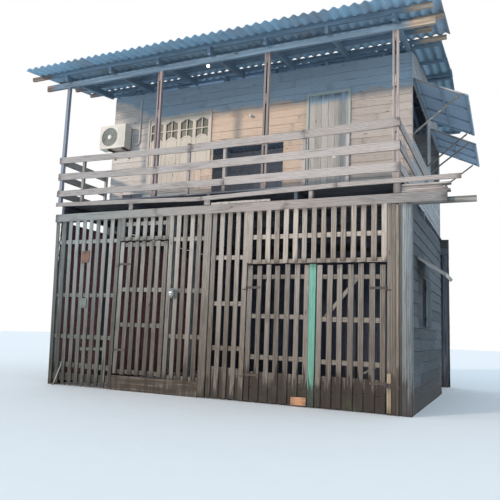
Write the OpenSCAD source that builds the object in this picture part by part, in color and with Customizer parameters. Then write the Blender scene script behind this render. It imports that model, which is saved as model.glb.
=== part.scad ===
// Two-storey timber house on tall posts. X runs along the street front, Y to the back, Z up.

/* [House] */
// Width of the upper storey along the street front
house_w = 6900; // [5400:50:7100]
// Depth of the veranda in front of the upper storey
veranda_d = 1500; // [1200:50:2200]
// Depth of the upper storey
storey_d = 4700; // [4000:50:7000]
// Thickness of a board wall with its battens
wall_t = 40; // [25:5:80]
// Height of the upper storey's front wall
upper_h = 2890; // [2600:10:3200]

/* [Frame under the floor] */
// Clear height below the front beam
beam_z = 3300; // [2900:10:3600]
// Height of the main beams
beam_h = 160; // [120:10:220]
// Front beam's reach past the fence's right end
beam_reach = 530; // [200:10:700]
// Side of the square ground posts
post_w = 100; // [80:5:160]
// Number of joists
joist_count = 5; // [4:1:8]
// Width of a joist
joist_w = 60; // [40:5:90]
// Height of a joist
joist_h = 210; // [150:10:260]
// Thickness of the floor boards
floor_t = 30; // [20:1:45]
// Reach of the floor past each side wall
floor_lip = 50; // [20:5:90]
// Height of the board along the floor's front edge
edge_board_h = 80; // [50:5:120]
// Edge board's reach past the side wall
edge_board_reach = 950; // [300:10:1100]

/* [Fence] */
// Length of the slatted fence with its corner boards
fence_w = 7100; // [6950:10:7150]
// Width of a slat
slat_w = 100; // [60:5:120]
// Pitch of the slats
slat_pitch = 167; // [150:1:200]
// Thickness of a slat
slat_t = 22; // [15:1:30]
// How far the first slat's head leans out over its foot
fence_lean = 120; // [0:10:150]
// Height of a fence rail
rail_h = 80; // [60:5:110]
// Thickness of a fence rail
rail_t = 30; // [20:1:45]
// Height of the slats' feet above the ground
slat_foot = 20; // [10:5:60]
// Width of the boards at the right corner
corner_w = 380; // [300:10:450]
// Width of the double board between the gates
double_w = 150; // [120:5:200]
// Left edge of the double board
double_x = 3400; // [3200:10:3600]

/* [Gates] */
// Left edge of the small gate
small_gate_x = 1560; // [1300:10:1750]
// Width of the small gate
small_gate_w = 1080; // [900:10:1250]
// Top of the small gate
small_gate_top = 2830; // [2400:10:2900]
// Top of the small gate's sill
sill_z = 270; // [150:10:350]
// Height of the sill board
sill_h = 60; // [40:5:90]
// Left edge of the large gate
large_gate_x = 4310; // [4000:10:4400]
// Width of the large gate's left leaf
left_leaf_w = 1240; // [1000:10:1400]
// Top of the large gate
large_gate_top = 2340; // [2200:10:2600]
// Gap round each gate leaf
gate_gap = 20; // [10:1:30]
// Width of the green board on the left leaf
green_w = 110; // [80:5:150]
// Height of the kickboards at the large gate's foot
kick_h = 500; // [300:10:600]
// Radius of a hinge pin
pin_r = 6; // [4:1:9]
// Radial clearance of a hinge eye on its pin
pin_gap = 0.3; // [0.2:0.1:0.6]
// Thickness of the metal of a hinge
strap_t = 5; // [3:1:8]
// Length of a hinge strap
strap_l = 260; // [150:10:350]

/* [Ground storey walls] */
// Length of the right side wall
right_wall_l = 4300; // [3000:50:4500]
// Side window's distance from the front of the wall
side_window_y = 800; // [500:10:1200]
// Width of the side window
side_window_w = 780; // [500:10:1000]
// Sill of the side window above the ground
side_window_z = 1380; // [900:10:1600]
// Height of the side window
side_window_h = 850; // [600:10:1100]
// Reach of the awning over the side window
awning_reach = 450; // [250:10:600]
// Slope of that awning
awning_a = 34; // [15:1:45]

/* [Openings of the upper storey] */
// Left edge of the front window
window_x = 980; // [700:10:1050]
// Width of the front window
window_w = 1650; // [1200:10:1680]
// Top of the front window above the floor
window_top = 2250; // [2000:10:2400]
// Height of the front window
window_h = 1250; // [1000:10:1500]
// Number of window leaves
leaf_count = 4; // [2:1:5]
// Width of the frames of window and door
frame_w = 50; // [35:5:70]
// Left edge of the low opening
low_x = 2690; // [2680:10:2800]
// Width of the low opening
low_w = 1630; // [1000:10:1800]
// Height of the low opening
low_h = 1370; // [1000:10:1500]
// Left edge of the door frame
door_x = 4810; // [4700:10:5000]
// Width of the door frame
door_w = 910; // [800:10:1000]
// Height of the door frame
door_h = 2310; // [2000:10:2400]
// Gap where a wall board is missing, its left edge
gap_x = 360; // [200:10:400]
// Width of that gap
gap_w = 560; // [300:10:600]
// Height of that gap above the floor
gap_z = 330; // [200:10:400]
// Height of the missing board
gap_h = 170; // [120:5:200]
// Sill of the side openings above the floor
hatch_z = 1230; // [900:10:1300]
// Height of the side openings
hatch_h = 1080; // [800:10:1100]
// Width of the front side opening, in percent of the storey's depth
front_hatch_share = 46; // [30:0.5:46]
// Width of the rear side opening, in percent of the storey's depth
rear_hatch_share = 37; // [30:0.5:40]
// Width of the wall pier at a side opening
pier_w = 80; // [60:10:200]
// Angle at which the side flaps hang open, from level
flap_a = 26; // [10:1:45]
// Thickness of a flap with its battens
flap_t = 30; // [20:1:50]
// Drop of the rear flap's hinge below the front one's
rear_flap_drop = 50; // [0:10:150]

/* [Veranda railing] */
// Veranda's reach past the house's left side
veranda_lip = 130; // [60:10:160]
// Width of a twin veranda post
tall_post_w = 100; // [70:5:130]
// Depth of the veranda posts
tall_post_d = 70; // [60:5:100]
// Number of veranda posts
tall_post_count = 4; // [3:1:6]
// Height of a rail board
rail_board_h = 150; // [100:5:170]
// Gap between rail boards
rail_board_gap = 205; // [150:5:260]
// Thickness of a rail board
rail_board_t = 25; // [18:1:35]
// Number of rail boards
rail_board_count = 3; // [2:1:4]
// Lowest rail board above the floor
rail_board_z = 140; // [80:10:250]
// Width of a short rail post
short_post_w = 60; // [40:5:90]
// How far the top side rail runs back along the house
side_rail_l = 3800; // [2500:50:4500]
// How far the lower side rails run back
low_rail_l = 1900; // [1550:50:3000]

/* [Roofs] */
// Slope of the veranda roof
veranda_a = 8; // [5:0.5:12]
// Slope of the main roof
main_a = 9; // [6:0.5:15]
// Height of the plate on the veranda posts
plate_h = 120; // [80:10:160]
// Width of plates, rafters and purlins
timber_w = 60; // [40:5:90]
// Height of a veranda rafter
rafter_h = 120; // [80:10:150]
// Height of a main rafter
main_rafter_h = 80; // [60:10:100]
// Height of a purlin under the veranda sheets
purlin_h = 80; // [50:5:100]
// First veranda purlin's distance in front of the posts
purlin_out = 100; // [0:10:300]
// How far that purlin runs out past the sheets at the left
purlin_past = 230; // [0:10:300]
// Plate's reach past the veranda posts
plate_reach = 580; // [200:10:650]
// Height of a purlin under the main sheets
main_purlin_h = 50; // [40:5:80]
// Pitch of the sheets' waves
wave_pitch = 175; // [130:1:200]
// Height of the waves
wave_h = 45; // [30:1:55]
// Thickness of the sheets
sheet_t = 6; // [4:1:8]
// Waves on one sheet
sheet_waves = 6; // [4:1:8]
// Waves across the veranda roof
veranda_waves = 48; // [40:1:56]
// Waves across the main roof
main_waves = 44; // [38:1:50]
// Veranda roof's reach to the left of the house
veranda_left = 810; // [600:10:1100]
// Main roof's reach to the left of the house
main_left = 270; // [150:10:500]
// Veranda sheets' reach in front of the posts
eave_reach = 520; // [300:10:700]
// Main sheets' reach behind the rear wall
rear_reach = 400; // [200:10:600]
// Width of each wing of the ridge cap
ridge_wing = 220; // [150:10:300]

/* [Fittings] */
// Width of the air conditioner
ac_w = 700; // [600:10:850]
// Height of the air conditioner
ac_h = 550; // [450:10:650]
// Depth of the air conditioner
ac_d = 240; // [200:10:320]
// Air conditioner's foot above the floor
ac_z = 1550; // [1200:10:1800]
// Left edge of the air conditioner
ac_x = -150; // [-250:10:50]
// Space behind the air conditioner
ac_space = 60; // [40:5:120]
// Radius of its insulated pipe
pipe_r = 18; // [12:1:25]
// Diameter of the electricity meter
meter_d = 190; // [150:5:230]
// Radius of the lamp bulb
bulb_r = 35; // [25:1:50]
// Lamp bulb's place between the third and fourth rafters, in percent
bulb_share = 77; // [15:1:85]

/* [Hidden] */

weathered = "#8f867b";
pale_board = "#b7a892";
dark_board = "#4a423c";
sheet_grey = "#7d8890";
flap_blue = "#4b5661";
metal = "#5b5a58";

// Levels and depths
seat = 0.3;
beam_top = beam_z + beam_h;
joist_top = beam_top + joist_h;
floor_z = joist_top + floor_t;
post_y = slat_t + rail_t;
beam_d = post_y + post_w;
wall_y = veranda_d;
house_d = veranda_d + storey_d;
rear_y = house_d - wall_t;
wall_top = floor_z + upper_h;
plate_z = wall_top - veranda_d * tan(veranda_a) - plate_h;
ridge_y = wall_y + storey_d / 2;

// Places along the fence
small_end = small_gate_x + small_gate_w;
large_end = fence_w - corner_w;
right_leaf_x = large_gate_x + left_leaf_w + gate_gap;
right_leaf_w = large_end - gate_gap - right_leaf_x;
panel_top = beam_z;
fence_levels = [925, 1740, 2830];
middle_levels = [sill_z, 1010, 1840, 2810];
right_levels = [840, 1620, 2440];
small_gate_levels = [sill_z + 2 * gate_gap, 1190, 1860, small_gate_top - rail_h - gate_gap];
left_leaf_levels = [720, 1415, 2090];
right_leaf_levels = [705, 1390, 2090];
corner_levels = [450, 1150, 1780, 2350, 2900];
hinge_levels = [0.18, 0.82];

// Places on the upper storey
low_end = low_x + low_w;
hatch_y = wall_y + wall_t + pier_w;
front_hatch_w = storey_d * front_hatch_share / 100;
rear_hatch_w = storey_d * rear_hatch_share / 100;
rear_hatch_y = rear_y - pier_w - rear_hatch_w;
hatch_base = floor_z + hatch_z;
hatch_top = hatch_base + hatch_h;
tall_post_pitch = (house_w + veranda_lip - tall_post_w) / (tall_post_count - 1);
floor_left = veranda_lip + rail_board_t;
rail_pitch = rail_board_h + rail_board_gap;
rail_top = floor_z + rail_board_z + (rail_board_count - 1) * rail_pitch + rail_board_h;

// The roofs' outline, which centres the plan on the origin
sheet_base = rafter_h + purlin_h + 3 * seat;
sheet_top = sheet_base + wave_h + 2 * sheet_t + seat;
main_base = main_rafter_h + main_purlin_h + 3 * seat;
main_top = main_base + wave_h + 2 * sheet_t + seat;
main_l = (ridge_y - wall_y) / cos(main_a);
rear_l = main_l + rear_reach;
front_edge = -eave_reach * cos(veranda_a) - sheet_top * sin(veranda_a);
rear_edge = house_d + rear_reach * cos(main_a) + main_top * sin(main_a);
left_edge = -veranda_left - purlin_past;
right_edge = max(veranda_waves * wave_pitch - veranda_left, fence_w + edge_board_reach);
plan_x = (left_edge + right_edge) / 2;
plan_y = (front_edge + rear_edge) / 2;

// A box given by its lowest corner and its size
module block(x, y, z, w, d, h) {
    translate([x, y, z]) cube([w, d, h]);
}

// A wall in the XZ plane: its length and height, less the holes, which are [x, z, w, h]
module front_slab(x0, x1, z0, z1, holes = []) {
    through = 1;
    difference() {
        block(x0, wall_y, z0, x1 - x0, wall_t, z1 - z0);
        for (h = holes) block(h[0], wall_y - through, h[1], h[2], wall_t + 2 * through, h[3]);
    }
}

// Slats side by side from x0 to x1; the heads lean to the left, the first one most
module slats(x0, x1, z0, z1, lean = 0) {
    span = x1 - x0 - slat_w;
    count = max(1, round(span / slat_pitch));
    for (i = [0 : count]) {
        x = x0 + i * span / count;
        out = lean * (1 - i / count);
        translate([0, slat_t, 0]) rotate([90, 0, 0]) linear_extrude(slat_t)
            polygon([[x, z0], [x + slat_w, z0], [x + slat_w - out, z1], [x - out, z1]]);
    }
}

// A fence panel: slats nailed to rails behind them, whose ends stop just inside the leaning slat
module fence_panel(x0, x1, z0, z1, levels, lean = 0) {
    color(weathered) union() {
        slats(x0, x1, z0, z1, lean);
        for (z = levels) {
            out = lean * (z - z0 - rail_h) / (z1 - z0);
            block(x0 - out, slat_t, z, x1 - x0 + out, rail_t, rail_h);
        }
    }
}

// Outline of one corrugated sheet with its crests up, from wave a to wave b
module wave_outline(a, b) {
    steps = 8;
    first = round(a * steps);
    last = round(b * steps);
    low = [for (i = [first : last])
        [i * wave_pitch / steps, wave_h / 2 * (1 - cos(360 * i / steps))]];
    high = [for (i = [last : -1 : first])
        [i * wave_pitch / steps, wave_h / 2 * (1 - cos(360 * i / steps)) + sheet_t]];
    polygon(concat(low, high));
}

// Sheets side by side; every second one lies over its neighbours by a quarter wave
module sheets(x0, waves, l) {
    lap = 0.25;
    count = ceil(waves / sheet_waves);
    for (i = [0 : count - 1]) {
        over = i % 2 == 1;
        a = i * sheet_waves - (over ? lap : 0);
        b = min(waves, (i + 1) * sheet_waves + (over ? lap : 0));
        translate([x0, l, over ? sheet_t + seat : 0]) rotate([90, 0, 0])
            linear_extrude(l) wave_outline(a, b);
    }
}

// Places of the veranda's purlins up its slope
purlin_count = 4;
purlin_first = -purlin_out;
purlin_last = (wall_y + timber_w / 6) / cos(veranda_a) - timber_w;
function purlin_y(i) = purlin_first + i * (purlin_last - purlin_first) / (purlin_count - 1);

// Frames of the three roof slopes: local Y runs up or down the slope, local Z is square to it
module veranda_slope() {
    translate([0, 0, plate_z + plate_h]) rotate([veranda_a, 0, 0]) children();
}
module front_slope() {
    translate([0, wall_y, wall_top]) rotate([main_a, 0, 0]) children();
}
module rear_slope() {
    translate([0, house_d, wall_top]) rotate([-main_a, 0, 0]) children();
}

// Ground storey: posts, beams and floor
module front_posts() {
    places = [0, small_gate_x - gate_gap - post_w, small_end + gate_gap, double_x,
        large_gate_x - gate_gap - post_w, fence_w - post_w];
    color(weathered) for (x = places) block(x, post_y, 0, post_w, post_w, beam_z);
}

module inner_posts() {
    last = fence_w - wall_t - post_w;
    rows = [wall_y, house_d - post_w];
    color(dark_board) for (y = rows) for (i = [0 : 3]) block(i * last / 3, y, 0, post_w, post_w, beam_z);
}

module front_beam() {
    color(weathered) block(-floor_left, 0, beam_z, fence_w + beam_reach + floor_left, beam_d, beam_h);
}

module inner_beams() {
    color(dark_board) for (y = [wall_y, house_d - post_w])
        block(0, y, beam_z, fence_w, post_w, beam_h);
}

module side_beam() {
    inside = 400;
    small_beam_h = 90;
    small_beam_w = 70;
    color(weathered) block(fence_w - inside, beam_d, beam_z,
        inside + edge_board_reach, small_beam_w, small_beam_h);
}

module floor_joists() {
    pitch = (house_w - joist_w) / (joist_count - 1);
    color(dark_board) for (i = [0 : joist_count - 1])
        block(i * pitch, 0, beam_top, joist_w, house_d, joist_h);
}

module floor_boards() {
    color(weathered) union() {
        block(-floor_left, 0, joist_top, house_w + floor_left + floor_lip, wall_y, floor_t);
        block(-floor_lip, 0, joist_top, house_w + 2 * floor_lip, house_d, floor_t);
    }
}

module deck_edge_board() {
    rise = 10;
    color(weathered) block(-floor_left, -rail_board_t, floor_z + rise - edge_board_h,
        house_w + floor_left + edge_board_reach, rail_board_t, edge_board_h);
}

// Ground storey: the slatted fence
module fence_left() {
    fence_panel(0, small_gate_x - gate_gap, slat_foot, panel_top, fence_levels, fence_lean);
}

module fence_over_small_gate() {
    base = small_gate_top + gate_gap;
    fence_panel(small_gate_x - gate_gap, small_end + gate_gap, base, panel_top,
        [base, panel_top - 2 * rail_h]);
}

module fence_middle() {
    packer_h = panel_top - sill_z - rail_h;
    fence_panel(small_end + gate_gap, double_x, sill_z, panel_top, middle_levels);
    color(weathered) union() {
        block(double_x, 0, slat_foot, double_w, slat_t, panel_top - slat_foot);
        block(double_x, slat_t, sill_z, post_w, rail_t, packer_h);
    }
}

module fence_right() {
    fence_panel(double_x + double_w, large_gate_x - gate_gap, slat_foot, panel_top, right_levels);
}

module fence_over_large_gate() {
    base = large_gate_top + gate_gap;
    upper = (base + panel_top - rail_h) / 2;
    fence_panel(large_gate_x - gate_gap, large_end, base, panel_top, [base, upper]);
}

// The right corner: three boards side by side, the middle one thicker
module corner_boards() {
    thirds = corner_w / 3;
    color(weathered) union() {
        for (i = [0 : 2]) block(large_end + i * thirds, i == 1 ? -slat_t / 2 : 0, 0, thirds,
            i == 1 ? slat_t * 3 / 2 : slat_t, beam_z);
        for (z = corner_levels) block(large_end, slat_t, z, corner_w, rail_t, rail_h);
    }
}

// The raised sill under the small gate and the panel beside it
module gate_sill() {
    start = small_gate_x - gate_gap;
    w = double_x - start;
    color(dark_board) union() {
        block(start, 0, 0, w, slat_t, sill_z - sill_h);
        block(start, 0, sill_z - sill_h, w, post_y, sill_h);
    }
}

// Hinges: a pin on a plate of the fixed board, and an eye on a strap of the leaf
eye_r = pin_r + pin_gap + strap_t;
hinge_y = -eye_r - seat;
eye_h = 40;
lug_h = 25;

module hinge_pin(x, z, side) {
    plate_l = 80;
    translate([x, hinge_y, z - lug_h - seat]) {
        cylinder(r = eye_r, h = lug_h, $fn = 32);
        cylinder(r = pin_r, h = lug_h + eye_h + 2 * strap_t, $fn = 32);
        translate([side > 0 ? -plate_l : 0, -hinge_y - strap_t, 0]) cube([plate_l, strap_t, lug_h]);
    }
}

module hinge_strap(x, z, side) {
    difference() {
        union() {
            translate([x, hinge_y, z]) cylinder(r = eye_r, h = eye_h, $fn = 32);
            block(side > 0 ? x : x - strap_l, -strap_t, z, strap_l, strap_t, eye_h);
        }
        translate([x, hinge_y, z - 1]) cylinder(r = pin_r + pin_gap, h = eye_h + 2, $fn = 32);
    }
}

function gate_levels(z0, z1) = [for (k = hinge_levels) z0 + k * (z1 - z0)];
small_levels = gate_levels(sill_z, small_gate_top);
large_levels = gate_levels(slat_foot, large_gate_top);
small_hinge_x = small_gate_x - gate_gap / 2;
left_hinge_x = large_gate_x - gate_gap / 2;
right_hinge_x = large_end - gate_gap / 2;

module gate_hinges() {
    color(metal) {
        for (z = small_levels) hinge_pin(small_hinge_x, z, 1);
        for (z = large_levels) hinge_pin(left_hinge_x, z, 1);
        for (z = large_levels) hinge_pin(right_hinge_x, z, -1);
    }
}

module small_gate_straps() {
    color(metal) for (z = small_levels) hinge_strap(small_hinge_x, z, 1);
}

module left_leaf_straps() {
    color(metal) for (z = large_levels) hinge_strap(left_hinge_x, z, 1);
}

module right_leaf_straps() {
    color(metal) for (z = large_levels) hinge_strap(right_hinge_x, z, -1);
}

// A gate leaf: slats on rails, a kickboard behind them at the foot
module gate_leaf(x0, x1, z0, z1, levels, kick) {
    color(weathered) union() {
        slats(x0, x1, z0, z1);
        for (z = levels) block(x0, slat_t, z, x1 - x0, rail_t, rail_h);
        if (kick > 0) block(x0, slat_t, z0, x1 - x0, rail_t, kick);
    }
}

// A brace between two rails, from one corner to the other
module brace(x0, z0, x1, z1) {
    color(weathered) translate([0, post_y, 0]) rotate([90, 0, 0]) linear_extrude(rail_t)
        polygon([[x0, z0], [x0 + rail_h, z0], [x1, z1], [x1 - rail_h, z1]]);
}

module small_gate() {
    gate_leaf(small_gate_x, small_end, sill_z + gate_gap, small_gate_top, small_gate_levels, 0);
}

module large_gate_left() {
    gate_leaf(large_gate_x, large_gate_x + left_leaf_w - green_w, slat_foot, large_gate_top,
        left_leaf_levels, kick_h);
}

module green_board() {
    color("#7fb59b") block(large_gate_x + left_leaf_w - green_w, 0, slat_foot, green_w,
        slat_t + rail_t, large_gate_top - slat_foot);
}

module large_gate_right() {
    start = right_leaf_x + slat_w;
    gate_leaf(right_leaf_x, right_leaf_x + right_leaf_w, slat_foot, large_gate_top,
        right_leaf_levels, kick_h);
    brace(start, right_leaf_levels[1] + rail_h, start + right_leaf_w / 2, right_leaf_levels[2]);
}

module electricity_meter() {
    base_t = 40;
    depth = 95;
    x = small_end + gate_gap + slat_w / 2 + meter_d / 2;
    z = 1830;
    color("#9a9a96") translate([x, 0, z]) rotate([90, 0, 0]) {
        cylinder(d = meter_d, h = base_t, $fn = 48);
        cylinder(d = meter_d * 4 / 5, h = depth, $fn = 48);
    }
}

// Ground storey: walls
module ground_right_wall() {
    y0 = beam_d;
    through = 1;
    color(weathered) difference() {
        block(fence_w - wall_t, y0, 0, wall_t, right_wall_l - y0, beam_z);
        block(fence_w - wall_t - through, side_window_y, side_window_z,
            wall_t + 2 * through, side_window_w, side_window_h);
    }
}

module ground_left_wall() {
    color(weathered) block(-wall_t, post_y, 0, wall_t, house_d - post_y, beam_z);
}

module ground_rear_wall() {
    color(weathered) block(-wall_t, house_d, 0, fence_w + wall_t, wall_t, floor_z);
}

module side_window_shutter() {
    color(flap_blue) block(fence_w, side_window_y + side_window_w, side_window_z,
        rail_board_t, side_window_w, side_window_h);
}

module side_awning() {
    lip = 150;
    thin = 20;
    l = awning_reach / cos(awning_a);
    color(flap_blue) translate([fence_w, side_window_y - lip, side_window_z + side_window_h + 2 * lip])
        rotate([0, awning_a, 0]) cube([l, side_window_w + 2 * lip, thin]);
}

// Upper storey: walls
module front_wall_left() {
    color(pale_board) front_slab(0, low_x, floor_z, wall_top, [
        [window_x, floor_z + window_top - window_h, window_w, window_h],
        [gap_x, floor_z + gap_z, gap_w, gap_h]]);
}

module front_wall_over_opening() {
    color(pale_board) front_slab(low_x, low_end, floor_z + low_h, wall_top);
}

module front_wall_right() {
    through = 1;
    color(pale_board) front_slab(low_end, house_w, floor_z, wall_top,
        [[door_x, floor_z - through, door_w, door_h + through]]);
}

// The leaves meet in the window; each has four panes with bracket heads over a domed panel
leaf_gap = seat;
leaf_w = (window_w - 2 * frame_w - (leaf_count + 1) * leaf_gap) / leaf_count;
leaf_h = window_h - 2 * frame_w - 2 * leaf_gap;
leaf_x = window_x + frame_w + leaf_gap;
leaf_z = floor_z + window_top - window_h + frame_w + leaf_gap;
leaf_t = 30;
stile_w = 40;
leaf_head = 60;
pane_w = leaf_w - 2 * stile_w;
pane_top = leaf_h - leaf_head;
pane_foot = pane_top - leaf_h * 0.4;
bar_w = 22;

module front_frames() {
    proud = 20;
    z0 = floor_z + window_top - window_h;
    color(pale_board) {
        difference() {
            block(window_x, wall_y - proud, z0, window_w, wall_t + proud, window_h);
            block(window_x + frame_w, wall_y - 2 * proud, z0 + frame_w, window_w - 2 * frame_w,
                wall_t + 4 * proud, window_h - 2 * frame_w);
        }
        difference() {
            block(door_x, wall_y - proud, floor_z, door_w, wall_t + proud, door_h);
            block(door_x + frame_w, wall_y - 2 * proud, floor_z - proud, door_w - 2 * frame_w,
                wall_t + 4 * proud, door_h - frame_w + proud);
        }
    }
}

module pane_field() {
    head = pane_w / 5;
    dome = pane_w / 4;
    steps = 10;
    across = [for (i = [-steps : steps]) i / steps];
    bar_z = (pane_top + pane_foot) / 2 - bar_w;
    difference() {
        translate([leaf_w / 2, 0]) polygon(concat(
            [for (u = across) [u * pane_w / 2, pane_top - head * (1 - cos(180 * u)) / 2]],
            [for (u = across) [-u * pane_w / 2, pane_foot + dome * (1 - u * u)]]));
        translate([leaf_w / 2 - bar_w / 2, 0]) square([bar_w, leaf_h]);
        translate([0, bar_z]) square([leaf_w, bar_w]);
    }
}

module window_leaves() {
    color(pale_board) for (i = [0 : leaf_count - 1])
        translate([leaf_x + i * (leaf_w + leaf_gap), wall_y + leaf_t, leaf_z]) rotate([90, 0, 0])
            linear_extrude(leaf_t) difference() {
                square([leaf_w, leaf_h]);
                pane_field();
            }
}

module window_glass() {
    glass_t = 4;
    edge = 20;
    color("#dfe6e8") for (i = [0 : leaf_count - 1])
        block(leaf_x + i * (leaf_w + leaf_gap) + edge, wall_y + leaf_t, leaf_z + leaf_h / 2 - edge,
            leaf_w - 2 * edge, glass_t, leaf_h / 2);
}

module upper_door() {
    half = (door_w - 2 * frame_w - 3 * leaf_gap) / 2;
    color(pale_board) for (i = [0, 1])
        block(door_x + frame_w + leaf_gap + i * (half + leaf_gap), wall_y, floor_z + leaf_gap,
            half, leaf_t, door_h - frame_w - 2 * leaf_gap);
}

module right_wall_lower() {
    color(pale_board) block(house_w - wall_t, wall_y + wall_t, floor_z, wall_t,
        storey_d - 2 * wall_t, hatch_z);
}

module right_wall_piers() {
    front_end = hatch_y + front_hatch_w;
    rear_end = rear_hatch_y + rear_hatch_w;
    color(pale_board) for (p = [[wall_y + wall_t, hatch_y], [front_end, rear_hatch_y], [rear_end, rear_y]])
        block(house_w - wall_t, p[0], hatch_base, wall_t, p[1] - p[0], hatch_h);
}

// Outline of a gable wall from its base to the underside of the purlins
module gable(base) {
    slope = tan(main_a);
    lift = main_rafter_h / cos(main_a) + seat;
    rotate([90, 0, 90]) linear_extrude(wall_t) polygon([[wall_y + wall_t, base], [rear_y, base],
        [rear_y, wall_top + lift + wall_t * slope], [ridge_y, wall_top + lift + storey_d / 2 * slope],
        [wall_y + wall_t, wall_top + lift + wall_t * slope]]);
}

module right_wall_upper() {
    color(pale_board) translate([house_w - wall_t, 0, 0]) gable(hatch_top);
}

module left_wall() {
    color(pale_board) gable(floor_z);
}

module rear_wall() {
    color(pale_board) block(0, rear_y, floor_z, house_w, wall_t, upper_h);
}

// Veranda: posts and railing
module veranda_posts() {
    h = plate_z - floor_z;
    color(weathered) {
        block(-veranda_lip, 0, floor_z, tall_post_d, tall_post_d, h);
        for (i = [1 : tall_post_count - 1])
            translate([i * tall_post_pitch - veranda_lip, 0, floor_z]) twin_post(h);
    }
}

// Two boards with spacers between them
module twin_post(h) {
    board = tall_post_w * 0.36;
    spacer_h = 2 * tall_post_w;
    union() {
        for (x = [0, tall_post_w - board]) block(x, 0, 0, board, tall_post_d, h);
        for (z = [0, (h - spacer_h) / 3, (h - spacer_h) * 2 / 3, h - spacer_h])
            block(board, 0, z, tall_post_w - 2 * board, tall_post_d, spacer_h);
    }
}

rail_levels = [for (i = [0 : rail_board_count - 1]) floor_z + rail_board_z + i * rail_pitch];

module front_railing() {
    places = [0.25, for (i = [1 : tall_post_count - 2]) each [i + 1 / 3, i + 2 / 3]];
    color(weathered) union() {
        for (z = rail_levels) block(-floor_left, -rail_board_t, z,
            house_w + floor_left + rail_board_t, rail_board_t, rail_board_h);
        for (p = places) block(p * tall_post_pitch - veranda_lip, 0, floor_z, short_post_w,
            short_post_w, rail_top - floor_z);
    }
}

// The left rails end on a short post beside the wall
module left_railing() {
    color(weathered) union() {
        for (z = rail_levels) block(-floor_left, 0, z, rail_board_t, wall_y, rail_board_h);
        block(-veranda_lip, wall_y - short_post_w, floor_z, short_post_w, short_post_w,
            rail_top - floor_z);
    }
}

module right_railing() {
    color(weathered) for (i = [0 : rail_board_count - 1])
        block(house_w, 0, rail_levels[i], rail_board_t,
            i == rail_board_count - 1 ? side_rail_l : low_rail_l, rail_board_h);
}

// Roofs: timbers, each seated on the ones below it
module veranda_plate() {
    rise = timber_w * tan(veranda_a);
    color(weathered) translate([-veranda_lip - plate_reach, 0, plate_z]) rotate([90, 0, 90])
        linear_extrude(house_w + veranda_lip + 2 * plate_reach)
            polygon([[0, 0], [timber_w, 0], [timber_w, plate_h + rise], [0, plate_h]]);
}

// The purlins were cut to different lengths, and the first runs out past the sheets
module veranda_frame() {
    inset = 60;
    stops = [130, 10, 260, inset];
    rafters = 2 * (tall_post_count - 1);
    rafter_l = wall_y / cos(veranda_a) - purlin_first;
    sheets_end = veranda_waves * wave_pitch - veranda_left;
    veranda_plate();
    color(weathered) veranda_slope() {
        for (i = [0 : rafters]) block(i * tall_post_pitch / 2 - veranda_lip + (tall_post_d - timber_w) / 2,
            purlin_first, seat, timber_w, rafter_l, rafter_h);
        for (i = [0 : purlin_count - 1]) {
            start = -veranda_left + (i == 0 ? -purlin_past : inset);
            block(start, purlin_y(i), rafter_h + 2 * seat, sheets_end - stops[i] - start,
                timber_w, purlin_h);
        }
    }
}

// The front and rear rafters lie side by side where they pass the ridge
module main_rafters(shift, from, l) {
    count = 2 * (tall_post_count - 1);
    color(weathered) for (i = [0 : count - 1])
        block((i + 1 / 2) * house_w / count + shift, from, seat, timber_w, l, main_rafter_h);
}

module main_purlins(places) {
    inset = 30;
    color(weathered) for (y = places) block(-main_left + inset, y, main_rafter_h + 2 * seat,
        main_waves * wave_pitch - 2 * inset, timber_w, main_purlin_h);
}

module main_frame() {
    steps = 3;
    first = 2 * timber_w;
    step = (main_l - first - 2 * timber_w) / (steps - 1);
    front_slope() {
        main_rafters(0, 0, main_l);
        main_purlins([for (i = [0 : steps - 1]) first + i * step]);
    }
    rear_slope() {
        main_rafters(timber_w + seat, -main_l, rear_l - timber_w);
        main_purlins([rear_reach - 2 * timber_w,
            for (i = [0 : steps - 1]) -first - timber_w - i * step]);
    }
}

// Roofs: sheets
module veranda_roof() {
    past = 55;
    l = eave_reach + (wall_y + past) / cos(veranda_a);
    color(sheet_grey) veranda_slope() translate([0, -eave_reach, sheet_base])
        sheets(-veranda_left, veranda_waves, l);
}

module main_roof_front() {
    start = 75;
    color(sheet_grey) front_slope() translate([0, start, main_base])
        sheets(-main_left, main_waves, main_l - start);
}

module main_roof_rear() {
    color(sheet_grey) rear_slope() translate([0, -main_l, main_base])
        sheets(-main_left, main_waves, rear_l);
}

module ridge_cap() {
    top = wall_top + main_top / cos(main_a) + storey_d / 2 * tan(main_a);
    run = ridge_wing * cos(main_a);
    fall = ridge_wing * sin(main_a);
    color(sheet_grey) translate([-main_left, 0, 0]) rotate([90, 0, 90])
        linear_extrude(main_waves * wave_pitch) polygon([[ridge_y - run, top - fall],
            [ridge_y, top], [ridge_y + run, top - fall], [ridge_y + run, top - fall + sheet_t],
            [ridge_y, top + sheet_t], [ridge_y - run, top - fall + sheet_t]]);
}

// Side flaps: sheets on battens, hinged along the top of their openings and propped open
flap_lip = 50;
flap_l = hatch_h;

module flap(y0, w, drop) {
    skin = 6;
    batten = 60;
    color(flap_blue) translate([house_w + seat, y0 - flap_lip, hatch_top + flap_lip - drop])
        rotate([0, flap_a, 0]) union() {
            block(0, 0, flap_t - skin, flap_l, w + 2 * flap_lip, skin);
            for (x = [0, (flap_l - batten) / 2, flap_l - batten])
                block(x, 0, 0, batten, w + 2 * flap_lip, flap_t - skin);
            for (y = [0, w + 2 * flap_lip - batten])
                block(0, y, 0, flap_l, batten, flap_t - skin);
        }
}

module front_flap() {
    flap(hatch_y, front_hatch_w, 0);
}

module rear_flap() {
    flap(rear_hatch_y, rear_hatch_w, rear_flap_drop);
}

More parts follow.
